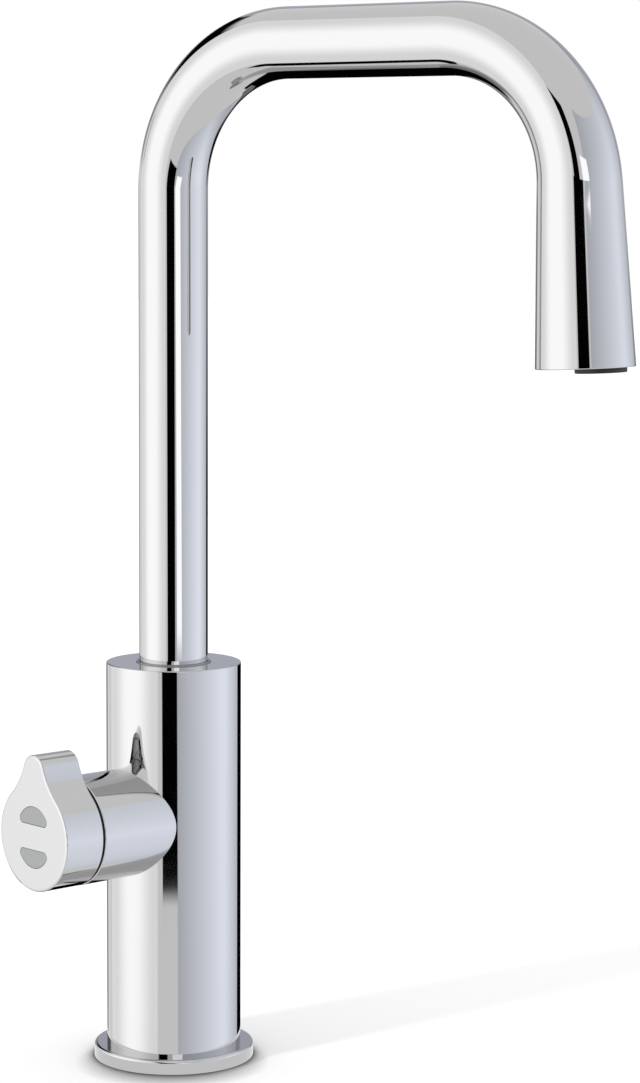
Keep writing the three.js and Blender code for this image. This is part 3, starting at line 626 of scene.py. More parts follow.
def bent(point, normal):
    """Places what is drawn straight up at the column's axis along the spout's line, as it rests."""
    travel = point.z
    bending = 0
    if travel < first_bend:
        turn = 0
        middle = Vector((0, 0, travel))
    elif travel < arm_start:
        turn = (travel - first_bend) / bend_radius
        bending = 1 / bend_radius
        middle = Vector((1 - math.cos(turn), 0, math.sin(turn))) * bend_radius
        middle += Vector((0, 0, bend_centre))
    elif travel < second_bend:
        turn = math.pi / 2
        middle = Vector((bend_radius + travel - arm_start, 0, arm_height))
    else:
        turn = math.pi / 2 + min(travel - second_bend, bend_length(lean)) / bend_radius
        bending = 1 / bend_radius if travel < leg_start else 0
        middle = Vector((-math.cos(turn), 0, math.sin(turn))) * bend_radius
        middle += Vector((arm_end, 0, bend_centre))
    inward = Vector((math.cos(turn), 0, -math.sin(turn)))
    along = Vector((math.sin(turn), 0, math.cos(turn)))
    if travel > leg_start:
        middle += along * (travel - leg_start)
    growth = 0
    flare = 0
    past = travel - second_bend
    if past > 0:
        growth = flare_slope * min(past / bend_length(lean), 1)
        flare = growth * past / 2 if travel < leg_start else growth * (past - bend_length(lean) / 2)
    radius = point.xy.length
    grown = point.xy * (1 + flare / radius)
    placed = middle + inward * grown.x + Vector((0, grown.y, 0))
    outward = normal.xy.dot(point.xy) / radius
    tilt = (normal.z - growth * outward) / (1 - bending * grown.x)
    turned = inward * normal.x + Vector((0, normal.y, 0)) + along * tilt
    return SWING @ placed, SWING @ turned


# %% Spout tube
TUBE_SIDES = 96
STRAIGHT_STEP = 8
BEND_STEP = bend_radius * math.radians(1.5)
STOP_ROOM = 0.3
UPRIGHT_WITHIN = 1e-6


def stops_between(first, last, step):
    count = math.ceil((last - first) / step)
    return [first + (last - first) * i / count for i in range(count + 1)]


ring_stops = sorted({
    *stops_between(spout_low.z, first_bend, STRAIGHT_STEP),
    *stops_between(first_bend, arm_start, BEND_STEP),
    *stops_between(arm_start, second_bend, STRAIGHT_STEP),
    *stops_between(second_bend, leg_start, BEND_STEP),
    *stops_between(leg_start, mouth, STRAIGHT_STEP),
})


def divided(edge, stops):
    """Adds a point to each upright stretch of a profile wherever it passes one of the stops, but none
    within STOP_ROOM of the stretch's ends."""
    points = []
    for (here, before, after), (beyond, arriving, _) in zip(edge, edge[1:] + edge[:1]):
        points.append((here, before, after))
        if abs(here.x - beyond.x) > UPRIGHT_WITHIN:
            continue
        low, high = sorted((here.y, beyond.y))
        passed = [stop for stop in stops if low + STOP_ROOM < stop < high - STOP_ROOM]
        if here.y > beyond.y:
            passed.reverse()
        points += [(Vector((here.x, stop)), after, arriving) for stop in passed]
    return points


clip_low, clip_high = box_mm("retaining_clip")
clip_groove = 0.8
tube_bore = tube_radius - tube_wall
mouth_edge = 0.35
tube_edge = profile(
    (tube_bore, spout_low.z, 0),
    (tube_radius, spout_low.z, 0),
    (tube_radius, clip_low.z - slip, 0),
    (tube_radius - clip_groove, clip_low.z - slip, 0),
    (tube_radius - clip_groove, clip_high.z + slip, 0),
    (tube_radius, clip_high.z + slip, 0),
    (tube_radius, mouth, mouth_edge),
    (tube_bore, mouth, mouth_edge),
)
spout = Skin()
lofted(spout, circle_rim(TUBE_SIDES), divided(tube_edge, ring_stops), bent)
piece("spout_tube_bent", spout, "spout", "chrome", "spout_tube")

# %% [markdown]
# ## Outlet
# A black moulded insert closes the mouth. It holds the aerator, which stands a little out of the
# mouth, and beside it the small steel nozzle of the filtered water. The screen in the aerator is a
# honeycomb of round holes: its holes are real ones, because a dark pattern would look painted.

# %% Outlet insert
insert_radius = tube_bore - slip
insert_recess = 1.5
insert_top = 15.5
sheet_inset = 1
aerator_radius = 8.9
aerator_thread = 8.2
aerator_wall = 1.5
aerator_lip = 1.2
aerator_top = 7.7
aerator_edge = 0.35
aerator_hole = 9.2
aerator_drop = 1.75
nozzle_radius = 4
nozzle_wall = 1
nozzle_top = 9.2
nozzle_hole = 9.5
nozzle_gap = 1.6
aerator_middle = 6
nozzle_middle = aerator_middle - aerator_radius - nozzle_gap - nozzle_radius
MOUTH = (
    Matrix.Rotation(rest_swing, 4, "Z")
    @ Matrix.Translation((spout_reach, 0, outlet_height))
    @ Matrix.Rotation(-lean, 4, "Y")
)
aerator_place = by(MOUTH @ Matrix.Translation((aerator_middle, 0, 0)))
nozzle_place = by(MOUTH @ Matrix.Translation((nozzle_middle, 0, 0)))
facing_down = by(MOUTH)(Vector(), Vector((0, 0, -1)))[1]
SMALL_SIDES = 64
small_rim = circle_rim(SMALL_SIDES)


def blind_hole(skin, radius, top, place):
    """The wall and the blind end of a hole that opens downward. Gives the ring of its mouth."""
    end, opening = open_loft(
        skin, small_rim, (radius, top, 0), (radius, insert_recess, 0), place=place
    )
    skin.sheet([end], facing_down)
    return opening


insert = Skin()
top_ring, bottom_ring = open_loft(
    insert, circle_rim(TUBE_SIDES),
    (insert_radius - sheet_inset, mouth - insert_top, 0),
    (insert_radius, mouth - insert_top, BROKEN),
    (insert_radius, mouth - insert_recess, BROKEN),
    (insert_radius - sheet_inset, mouth - insert_recess, 0),
    place=bent,
)
openings = [
    blind_hole(insert, radius + slip, top, place)
    for radius, top, place in (
        (aerator_thread, aerator_hole, aerator_place),
        (nozzle_radius, nozzle_hole, nozzle_place),
    )
]
insert.sheet([bottom_ring, *openings], facing_down)
insert.sheet([top_ring], -facing_down)
piece("outlet_insert_moulded", insert, "spout", "black_plastic", "outlet_insert")

# %% Aerator and nozzle
housing = closed_loft(
    circle_rim(TUBE_SIDES),
    (aerator_thread - aerator_wall, -aerator_drop, BROKEN),
    (aerator_radius, -aerator_drop, aerator_edge),
    (aerator_radius, aerator_lip, CRISP),
    (aerator_thread, aerator_lip, 0),
    (aerator_thread, aerator_top, CRISP),
    (aerator_thread - aerator_wall, aerator_top, CRISP),
    place=aerator_place,
)
piece("aerator_ring", housing, "spout", "black_plastic", "aerator_housing")

nozzle_edge = 0.4
nozzle = closed_loft(
    small_rim,
    (nozzle_radius - nozzle_wall, 0, BROKEN),
    (nozzle_radius, 0, nozzle_edge),
    (nozzle_radius, nozzle_top, CRISP),
    (nozzle_radius - nozzle_wall, nozzle_top, CRISP),
    place=nozzle_place,
)
piece("filtered_nozzle", nozzle, "spout", "steel", "filtered_water_nozzle")

# %% Aerator screen
screen_radius = aerator_thread - aerator_wall - slip
screen_foot = 0.3
screen_top = 1.9
hole_radius = 0.62
hole_pitch = 1.75
HOLE_ROWS = range(-4, 5)
HOLE_SIDES = 12
screen = Skin()
low_holes = []
high_holes = []
hole_rim = circle_rim(HOLE_SIDES)
for row, column_of_holes in itertools.product(HOLE_ROWS, HOLE_ROWS):
    x = hole_pitch * (column_of_holes + row / 2)
    y = hole_pitch * row * math.sqrt(3) / 2
    if math.hypot(x, y) > screen_radius - 2 * hole_radius:
        continue
    hole_place = by(MOUTH @ Matrix.Translation((aerator_middle + x, y, 0)))
    high_ring, low_ring = open_loft(
        screen, hole_rim, (hole_radius, screen_top, 0), (hole_radius, screen_foot, 0), place=hole_place
    )
    low_holes.append(low_ring)
    high_holes.append(high_ring)
low_ring, high_ring = open_loft(
    screen, small_rim,
    (screen_radius, screen_foot, 0),
    (screen_radius, screen_top, 0),
    place=aerator_place,
)
screen.sheet([low_ring, *low_holes], facing_down)
screen.sheet([high_ring, *high_holes], -facing_down)
piece("aerator_honeycomb", screen, "spout", "steel", "aerator_screen")
print("holes in the screen:", len(low_holes))

# %% [markdown]
# ## Lever
# The lever is a shallow chromed cup. Its outline is a tear-drop: a round body, a small round tip above
# it for the fingers, and a hollow flank on each side that meets both without a corner. The face falls
# away a little towards its rim, and that slope shows as a thin bright line all the way round it.

# %% The lever's outline
tip_radius = 6
flank_radius = 30
tip_centre = tip_height - tip_radius
to_body = handle_radius + flank_radius
to_tip = tip_radius + flank_radius
flank_y = (to_body ** 2 - to_tip ** 2 + tip_centre ** 2) / (2 * tip_centre)
flank_x = math.sqrt(to_body ** 2 - flank_y ** 2)
body_turn = math.atan2(flank_y, flank_x)
tip_turn = math.atan2(flank_y - tip_centre, flank_x)
teardrop = arc_rim([
    (0, 0, handle_radius, math.pi - body_turn, 2 * math.pi + body_turn),
    (flank_x, flank_y, flank_radius, math.pi + body_turn, math.pi + tip_turn),
    (0, tip_centre, tip_radius, tip_turn, math.pi - tip_turn),
    (-flank_x, flank_y, flank_radius, -tip_turn, -body_turn),
], step=math.radians(2))

# %% The buttons' outline
button_radius = 9.4
button_middle = 1.9
button_flat = 4.65
button_corner = 1.8
corner_y = button_flat + button_corner
corner_x = math.sqrt((button_radius - button_corner) ** 2 - (corner_y - button_middle) ** 2)
corner_turn = math.atan2(corner_y - button_middle, corner_x)


def half_moon(side):
    """side is 1 for the button above the lever's axis and -1 for the one below it."""
    return arc_rim([
        (corner_x, corner_y, button_corner, -math.pi / 2, corner_turn),
        (0, button_middle, button_radius, corner_turn, math.pi - corner_turn),
        (-corner_x, corner_y, button_corner, math.pi - corner_turn, math.pi * 1.5),
    ], flip=side)


BUTTONS = {"select": 1, "safety": -1}

# %% Lever cup
handle_wall = 2
face_thickness = 1.8
face_inside = handle_face - face_thickness
face_edge = 0.5
rim_width = 0.8
rim_fall = 0.26
rim_ease = 1.2
out_of_face = Vector((-1, 0, 0))
cup = Skin()
inside_ring, face_ring = open_loft(
    cup, teardrop,
    (-handle_wall, face_inside, 0),
    (-handle_wall, handle_back, FINE),
    (0, handle_back, BROKEN),
    (0, handle_face - rim_fall, face_edge),
    (-rim_width, handle_face, rim_ease),
    (-2 * rim_width, handle_face, 0),
    place=lever_place,
)
face_windows = []
inside_windows = []
for side in BUTTONS.values():
    window, window_back = open_loft(
        cup, half_moon(side),
        (3 * fine_gap, handle_face, 0),
        (fine_gap, handle_face, CRISP),
        (fine_gap, face_inside, 0),
        place=lever_place,
    )
    face_windows.append(window)
    inside_windows.append(window_back)
cup.sheet([face_ring, *face_windows], out_of_face)
cup.sheet([inside_ring, *inside_windows], -out_of_face)
piece("lever_cup", cup, "handle", "chrome", "handle_shell")

# %% [markdown]
# A core fills the cup from behind and is pressed on the spindle. Behind it a black ring lines the seam
# between lever and boss, where it lets the lever glide. It is set back a little, so the seam stays a
# dark line from any side.

# %% Lever back
hub_front = -box_mm("handle_core")[0].x
spindle_end = -box_mm("spindle")[0].x
hub_inset = handle_wall + slip
spindle_hole = 4.5
hub = Skin()
back_ring, front_ring = open_loft(
    hub, teardrop,
    (-hub_inset - sheet_inset, handle_back, 0),
    (-hub_inset, handle_back, FINE),
    (-hub_inset, hub_front, FINE),
    (-hub_inset - sheet_inset, hub_front, 0),
    place=lever_place,
)
hole_end, hole_mouth = open_loft(
    hub, small_rim,
    (spindle_hole, spindle_end + slip, 0),
    (spindle_hole, handle_back, 0),
    place=lever_place,
)
hub.sheet([back_ring, hole_mouth], -out_of_face)
hub.sheet([hole_end], -out_of_face)
hub.sheet([front_ring], out_of_face)
piece("lever_back", hub, "handle", "chrome", "handle_core")

# %% Ring in the seam behind the lever
bush_wall = 2.8
bush_depth = 4.5
bush_outer = boss_bore - slip
bush_inner = bush_outer - bush_wall
seam_inset = 0.7
seam_radius = handle_radius - seam_inset
bush = closed_loft(
    circle_rim(SHOW_SIDES),
    (bush_inner, boss_reach - bush_depth, CRISP),
    (bush_outer, boss_reach - bush_depth, CRISP),
    (bush_outer, boss_reach + fine_gap, 0),
    (seam_radius, boss_reach + fine_gap, CRISP / 2),
    (seam_radius, handle_back - fine_gap, CRISP / 2),
    (bush_inner, handle_back - fine_gap, CRISP),
    place=lever_place,
)
piece("lever_bush", bush, "column", "black_plastic", "handle_bush")

# %% [markdown]
# ## Push buttons
# The two buttons are half-moons with their straight sides towards each other, flush with the lever's
# face. They are satin where the face is polished, so the eye finds them at once. Each has a lip behind
# the face that keeps it from falling out.

# %% Push buttons
button_lip = 0.9
lip_height = 1
lip_front = face_inside - slip
for name, side in BUTTONS.items():
    button = Skin()
    lip_ring, cap_ring = open_loft(
        button, half_moon(side),
        (slip, lip_front - lip_height, 0),
        (slip + button_lip, lip_front - lip_height, CRISP),
        (slip + button_lip, lip_front, CRISP),
        (0, lip_front, 0),
        (0, handle_face, FINE),
        (-2 * FINE, handle_face, 0),
        place=lever_place,
    )
    button.sheet([lip_ring], -out_of_face)
    button.sheet([cap_ring], out_of_face)
    piece(f"{name}_cap", button, f"{name}_key", "satin_metal", f"{name}_button")

# %% [markdown]
# ## Fixing under the worktop
# A threaded shank goes down through the hole in the worktop. A rubber gasket and a horseshoe washer
# slip round it from the side, and a big hexagon nut pulls them up. The thread is real: its root winds
# down the shank as one helix, which is drawn by making the radius follow the height and the turn.

# %% Threaded shank
shank_low, shank_high = box_mm("threaded_shank")
shank_radius = shank_high.x
shank_wall = 3
shank_bore = shank_radius - shank_wall
thread_pitch = 2
thread_depth = 0.7
THREAD_SIDES = 64
THREAD_RINGS = 8
FLANK_SLOPE = 1.5
ROOT_SHARE = 0.3
PROBE = 0.01


def thread_radius(turn, height):
    """Full at the crest, and a flat-bottomed groove half a pitch further on."""
    phase = (height / thread_pitch - turn / (2 * math.pi)) % 1
    groove = min(max(abs(2 * phase - 1) * FLANK_SLOPE - ROOT_SHARE, 0), 1)
    ends = min(height - shank_low.z, shank_high.z - height) / thread_depth
    return shank_radius - thread_depth * max(groove, 1 - min(ends, 1))


def thread_ring(height):
    points = []
    normals = []
    for j in range(THREAD_SIDES):
        turn = 2 * math.pi * j / THREAD_SIDES
        radius = thread_radius(turn, height)
        growth = thread_radius(turn, height + PROBE) - thread_radius(turn, height - PROBE)
        ray = Vector((math.cos(turn), math.sin(turn), 0))
        points.append(ray * radius + Vector((0, 0, height)))
        normals.append(ray - Vector((0, 0, growth / (2 * PROBE))))
    return points, normals


shank = Skin()
thread_stops = stops_between(shank_low.z, shank_high.z, thread_pitch / THREAD_RINGS)
thread_rings = [thread_ring(height) for height in thread_stops]
for (low, low_normals), (high, high_normals) in zip(thread_rings, thread_rings[1:]):
    shank.band(low, high, low_normals, high_normals)
bore_top, bore_foot = open_loft(
    shank, circle_rim(THREAD_SIDES, 0), (shank_bore, shank_high.z, 0), (shank_bore, shank_low.z, 0)
)
flat_band(shank, bore_foot, thread_rings[0][0])
up = [Vector((0, 0, 1))] * THREAD_SIDES
shank.band(thread_rings[-1][0], bore_top, up, up)
piece("shank_with_thread", shank, "column", "brass", "threaded_shank")

# %% Gasket, washer and nut
gasket_low, gasket_high = box_mm("clamp_gasket")
washer_low, washer_high = box_mm("clamp_washer")
nut_low, nut_high = box_mm("back_nut")
clamp_radius = gasket_high.x
clamp_hole = shank_radius + slip

gasket_edge = 0.8
gasket = closed_loft(
    circle_rim(TUBE_SIDES),
    (clamp_hole, gasket_low.z, gasket_edge / 2),
    (clamp_radius, gasket_low.z, gasket_edge),
    (clamp_radius, gasket_high.z, gasket_edge),
    (clamp_hole, gasket_high.z, gasket_edge / 2),
)
piece("clamp_gasket_ring", gasket, "column", "rubber", "clamp_gasket")

tip_round = 1.5
washer_edge = 0.3
tip_x = clamp_hole + tip_round
tip_y = math.sqrt((clamp_radius - tip_round) ** 2 - tip_x ** 2)
tip_angle = math.atan2(tip_y, tip_x)
horseshoe = arc_rim([
    (0, 0, clamp_radius, math.pi - tip_angle, 2 * math.pi + tip_angle),
    (tip_x, tip_y, tip_round, tip_angle, math.pi),
    (0, 0, clamp_hole, 0, -math.pi),
    (-tip_x, tip_y, tip_round, 0, math.pi - tip_angle),
])
washer = Skin()
washer_foot, washer_top = open_loft(
    washer, horseshoe,
    (-2 * washer_edge, washer_low.z, 0),
    (0, washer_low.z, washer_edge),
    (0, washer_high.z, washer_edge),
    (-2 * washer_edge, washer_high.z, 0),
)
washer.sheet([washer_foot], Vector((0, 0, -1)))
washer.sheet([washer_top], Vector((0, 0, 1)))
piece("horseshoe_washer", washer, "column", "steel", "clamp_washer")

nut_corner = 1.2
nut_flat = 23
nut_edge = 0.5
nut_hole_edge = 0.4
HALF_SIDE = 30
corner_reach = (nut_flat - nut_corner) / math.cos(math.radians(HALF_SIDE))
hexagon = arc_rim([
    (
        corner_reach * math.cos(math.radians(middle)),
        corner_reach * math.sin(math.radians(middle)),
        nut_corner,
        math.radians(middle - HALF_SIDE),
        math.radians(middle + HALF_SIDE),
    )
    for middle in range(0, 360, 2 * HALF_SIDE)
], step=math.radians(10))
nut = Skin()
nut_foot, nut_top = open_loft(
    nut, hexagon,
    (-2 * nut_edge, nut_low.z, 0),
    (0, nut_low.z, nut_edge),
    (0, nut_high.z, nut_edge),
    (-2 * nut_edge, nut_high.z, 0),
)
hole_top, hole_foot = open_loft(
    nut, small_rim,
    (clamp_hole, nut_high.z, nut_hole_edge),
    (clamp_hole, nut_low.z, nut_hole_edge),
)
nut.sheet([nut_foot, hole_foot], Vector((0, 0, -1)))
nut.sheet([nut_top, hole_top], Vector((0, 0, 1)))
piece("hexagon_nut", nut, "column", "brass", "back_nut")

# %% [markdown]
# Four hose tails hang from the valve core, inside the top of the shank: cold and hot mains water, and
# boiling and chilled filtered water from the unit under the sink. Each is a short brass pipe with barbs
# that bite into a hose. The barbs are a saw-tooth profile on a lathe, as on the real ones.

# %% Hose tails
BARBS = 3
TAIL_SIDES = 32
barb_depth = 0.4
tail_wall = 1.2
tail_edge = 0.15
for name in ("cold", "hot", "boiling", "chilled"):
    tail_low, tail_high = box_mm(f"{name}_inlet")
    middle = (tail_low + tail_high) / 2
    outer = (tail_high.x - tail_low.x) / 2
    waist = outer - barb_depth
    bore = waist - tail_wall
    barb = (tail_high.z - tail_low.z) / (BARBS + 1)
    barbs = [
        corner
        for k in range(BARBS)
        for corner in ((waist, tail_low.z + k * barb, 0), (outer, tail_low.z + (k + 1) * barb, CRISP))
    ]
    tail = closed_loft(
        circle_rim(TAIL_SIDES),
        (bore, tail_low.z, tail_edge),
        *barbs,
        (waist, tail_low.z + BARBS * barb, 0),
        (waist, tail_high.z, 0),
        (bore, tail_high.z, 0),
        place=by(Matrix.Translation((middle.x, middle.y, 0))),
    )
    piece(f"{name}_hose_tail", tail, "column", "brass", f"{name}_inlet")

# %% [markdown]
# ## Floor
# The tap stands on a plain white floor. It has no edge in the picture, because floor and sky are both
# white. It keeps the tap's shadow from the key light. Its darkening in the corner at the flange's foot
# is painted shade, laid into its colour by how much of the sky each point sees. A broad lamp high
# behind the tap would leave a soft shade before the flange. The lamp would light the metal too, so
# only its shade is painted, as a round spot on a fixed place of the floor, the same from any side.

# %% A sheet of the stage
heading = Vector((0.6721, 0.7405, 0)).normalized()
to_camera = -heading
to_right = Vector((heading.y, -heading.x, 0))


def stage_sheet(name, corners, height=0):
    """A flat sheet that isn't part of the tap, and the node tree of its paint, which is still empty."""
    made = mesh_object(name, [(x, y, height) for x, y in corners], [range(len(corners))])
    paint = bpy.data.materials.new(f"{name}_paint")
    paint.use_nodes = True
    paint.node_tree.nodes.clear()
    made.data.materials.append(paint)
    return made, paint.node_tree


# %% Floor
FLOOR_HALF = 6
FLOOR_COLOUR = "#FEFEFE"
CORNER_MM = 14
CORNER_SHARES = (0.5, 0.86, 0.15)
SHADE_AHEAD_MM = 12
SHADE_CORE_MM = 20.7
SHADE_RIM_MM = 36.7
SHADE_DARKEST = 0.36
floor_corners = [(x * FLOOR_HALF, y * FLOOR_HALF) for x, y in ((-1, -1), (1, -1), (1, 1), (-1, 1))]
floor, floor_tree = stage_sheet("white_floor", floor_corners)
floor.visible_glossy = False
# Painted shade: the floor's colour is darkened in the corner at the flange's foot, by how much of the sky
# is open above each point.
open_sky = add_node(floor_tree, "ShaderNodeAmbientOcclusion", {"Distance": CORNER_MM * MM}, samples=6)
most_hidden, most_open, corner_darkest = CORNER_SHARES
painted_corner_shade = add_node(floor_tree, "ShaderNodeMapRange", {
    "Value": open_sky.outputs["AO"],
    "From Min": most_hidden,
    "From Max": most_open,
    "To Min": corner_darkest,
    "To Max": 1,
})
from_shade = add_node(floor_tree, "ShaderNodeVectorMath", {
    0: add_node(floor_tree, "ShaderNodeTexCoord").outputs["Object"],
    1: to_camera * SHADE_AHEAD_MM * MM,
}, operation="DISTANCE")
in_shade = add_node(floor_tree, "ShaderNodeMapRange", {
    "Value": from_shade.outputs["Value"],
    "From Min": SHADE_CORE_MM * MM,
    "From Max": SHADE_RIM_MM * MM,
    "To Min": SHADE_DARKEST,
    "To Max": 1,
})
# The painted corner shade and the painted round spot of shade darken the white floor's colour together.
painted_shade = add_node(floor_tree, "ShaderNodeMath", {0: painted_corner_shade, 1: in_shade}, operation="MULTIPLY")
floor_colour = add_node(floor_tree, "ShaderNodeMix", {
    0: painted_shade, 6: linear("#000000"), 7: linear(FLOOR_COLOUR),
}, data_type="RGBA")
floor_surface = add_node(floor_tree, "ShaderNodeBsdfDiffuse", {"Color": floor_colour.outputs[2]})
add_node(floor_tree, "ShaderNodeOutputMaterial", {"Surface": floor_surface})
print("floor:", 2 * FLOOR_HALF, "m across")

# %% [markdown]
# Polished metal sees only the floor close by. Farther out the cards round the tap would hide the floor
# in a real studio, so the chrome shows them instead. It sees a small round patch of its own, which lies
# on the floor and which neither the camera nor anything matt sees.

# %% The patch of floor that the flange sees
PATCH_RADIUS = 48
PATCH_LIFT = 0.05
patch_corners = [(at.x * MM, at.y * MM) for at, _ in circle_rim(TUBE_SIDES)(PATCH_RADIUS)]
patch, patch_tree = stage_sheet("floor_patch", patch_corners, PATCH_LIFT * MM)
patch.visible_camera = False
patch.visible_diffuse = False
patch.visible_shadow = False
patch_light = add_node(patch_tree, "ShaderNodeEmission", {"Color": linear("#FFFFFF"), "Strength": 1})
add_node(patch_tree, "ShaderNodeOutputMaterial", {"Surface": patch_light})
print("patch:", 2 * PATCH_RADIUS, "mm across")

# %% [markdown]
# ## Key light
# One low lamp stands far out past the lever. It lays the long faint shadow of the column on the floor.
# The lamp itself would be a hot dot in the chrome, so the metal doesn't see it.

# %% Key light
key_height = math.radians(24)
key_turn = math.radians(3.8)
key_width = math.radians(6)
key_data = bpy.data.lights.new("key", "SUN")
key_data.energy = 1
key_data.angle = key_width
key = bpy.data.objects.new("key", key_data)
bpy.context.scene.collection.objects.link(key)
key_from = Vector((-math.cos(key_turn), math.sin(key_turn), math.tan(key_height)))
key.rotation_euler = key_from.to_track_quat("Z", "Y").to_euler()
key.visible_glossy = False
print(f"key light: {math.degrees(key_height):.0f} degrees above the worktop")

# %% [markdown]
# ## The studio that the chrome sees
# Chrome has no colour of its own. It is drawn by what stands round it: a photographer sets up large
# white and grey cards for the bright flanks, and a narrow black one, called a flag, for the dark stripe
# that makes a tube look round. The cards stand far away, so they are painted on the sky by direction.
# Real planes of light would do too, but they would also light the floor and add noise.
#
# A direction is an azimuth, counted from the camera's side to its right, and an elevation, in degrees.

# %% Directions in the sky
world = bpy.data.worlds.new("studio")
bpy.context.scene.world = world
world.use_nodes = True
sky = world.node_tree
sky.nodes.clear()
ray = add_node(sky, "ShaderNodeTexCoord").outputs["Generated"]
front = add_node(sky, "ShaderNodeVectorMath", {0: ray, 1: to_camera}, operation="DOT_PRODUCT")
aside = add_node(sky, "ShaderNodeVectorMath", {0: ray, 1: to_right}, operation="DOT_PRODUCT")
split_ray = add_node(sky, "ShaderNodeSeparateXYZ", {0: ray})
azimuth = add_node(sky, "ShaderNodeMath", {
    0: aside.outputs["Value"], 1: front.outputs["Value"],
}, operation="ARCTAN2")
elevation = add_node(sky, "ShaderNodeMath", {0: split_ray.outputs["Z"]}, operation="ARCSINE")


def sky_direction(azimuth_degrees, elevation_degrees):
    turn = math.radians(azimuth_degrees)
    rise = math.radians(elevation_degrees)
    level = to_camera * math.cos(turn) + to_right * math.sin(turn)
    return level * math.cos(rise) + Vector((0, 0, math.sin(rise)))


def shown(hex_colour):
    """The light of a card that the chrome shows in this colour."""
    return (*[light / plate for light, plate in zip(linear(hex_colour)[:3], linear(CHROME))], 1)


# %% Cards
def card(picture, colour, middle, half, low, high, lean, soft, fade):
    """Fills the directions round an azimuth, between two elevations, all in degrees. A card that leans
    moves by lean degrees for each degree up, and middle is where it stands halfway up."""
    halfway = (low + high) / 2
    upright = add_node(sky, "ShaderNodeMath", {
        0: elevation, 1: -lean, 2: math.radians(lean * halfway - middle),
    }, operation="MULTIPLY_ADD")
    past = add_node(sky, "ShaderNodeMath", {0: azimuth, 1: upright}, operation="ADD")
    turn = add_node(sky, "ShaderNodeMath", {0: past, 1: math.pi, 2: -math.pi}, operation="WRAP")
    reach = add_node(sky, "ShaderNodeMath", {0: turn}, operation="ABSOLUTE")
    rise = add_node(sky, "ShaderNodeMath", {
        0: elevation, 1: math.radians(halfway),
    }, operation="SUBTRACT")
    height = add_node(sky, "ShaderNodeMath", {0: rise}, operation="ABSOLUTE")
    within = [
        add_node(sky, "ShaderNodeMapRange", {
            "Value": distance,
            "From Min": math.radians(edge + softness / 2),
            "From Max": math.radians(edge - softness / 2),
        })
        for distance, edge, softness in ((reach, half, soft), (height, (high - low) / 2, fade))
    ]
    share = add_node(sky, "ShaderNodeMath", {0: within[0], 1: within[1]}, operation="MULTIPLY")
    laid = add_node(sky, "ShaderNodeMix", {
        0: share, 6: picture, 7: shown(colour),
    }, data_type="RGBA")
    return laid.outputs[2]


# %% [markdown]
# The room itself is as grey as plain chrome looks. On the left stands a round white lamp. A crisp pale
# disc is its cloth, and a glow in the middle of the disc is the bulb behind it.

# %% The room, and the round lamp on the left
LAMPS = (
    # azimuth, elevation, half width of the rim and of the core, colour, and how it falls off
    (-78, 0.5, 54.8, 53.8, "#D3D3D3", "LINEAR"),
    (-73.8, 3, 46, 13, "#F8F8F8", "SMOOTHSTEP"),
)
picture = shown(CHROME)
for turned_to, raised_to, rim_degrees, core_degrees, colour, falloff in LAMPS:
    near = add_node(sky, "ShaderNodeVectorMath", {
        0: ray, 1: sky_direction(turned_to, raised_to),
    }, operation="DOT_PRODUCT")
    away = add_node(sky, "ShaderNodeMath", {0: near.outputs["Value"]}, operation="ARCCOSINE")
    share = add_node(sky, "ShaderNodeMapRange", {
        "Value": away,
        "From Min": math.radians(rim_degrees),
        "From Max": math.radians(core_degrees),
    }, interpolation_type=falloff)
    lit = add_node(sky, "ShaderNodeMix", {
        0: share, 6: picture, 7: shown(colour),
    }, data_type="RGBA")
    picture = lit.outputs[2]

# %% [markdown]
# The card on the right is cool and falls away towards the flag, so the tube's right flank runs from a
# dull grey-lavender beside the stripe to a pale one at the edge.

# %% The cool card's outline: an oval at its foot, and straight across its top
COOL_MIDDLE = 92
COOL_HALF = 83
COOL_LEVEL = -8
COOL_DROP = 47
COOL_TOP = 37.5
COOL_SOFT = 1
OVAL_EDGE = (1.03, 0.98)

cool_turn = add_node(sky, "ShaderNodeMath", {
    0: azimuth, 1: math.radians(COOL_MIDDLE),
}, operation="SUBTRACT")
across = add_node(sky, "ShaderNodeMath", {
    0: cool_turn, 1: math.radians(COOL_HALF),
}, operation="DIVIDE")
cool_fall = add_node(sky, "ShaderNodeMath", {
    0: math.radians(COOL_LEVEL), 1: elevation,
}, operation="SUBTRACT")
below = add_node(sky, "ShaderNodeMath", {0: cool_fall, 1: 0}, operation="MAXIMUM")
down = add_node(sky, "ShaderNodeMath", {0: below, 1: math.radians(COOL_DROP)}, operation="DIVIDE")
across_squared = add_node(sky, "ShaderNodeMath", {0: across, 1: across}, operation="MULTIPLY")
oval = add_node(sky, "ShaderNodeMath", {0: down, 1: down, 2: across_squared}, operation="MULTIPLY_ADD")
inside = add_node(sky, "ShaderNodeMapRange", {
    "Value": oval, "From Min": OVAL_EDGE[0], "From Max": OVAL_EDGE[1],
})
under_top = add_node(sky, "ShaderNodeMapRange", {
    "Value": elevation,
    "From Min": math.radians(COOL_TOP + COOL_SOFT / 2),
    "From Max": math.radians(COOL_TOP - COOL_SOFT / 2),
})
cool_share = add_node(sky, "ShaderNodeMath", {0: inside, 1: under_top}, operation="MULTIPLY")

# %% The cool card's colour: palest to the right of the tap, and duller towards the flag and the back
FLAG_SIDE = (9, 92)
FAR_SIDE = (146, 101)
COOL_FADE = 87
RAMP_SOFTNESS = 0.05

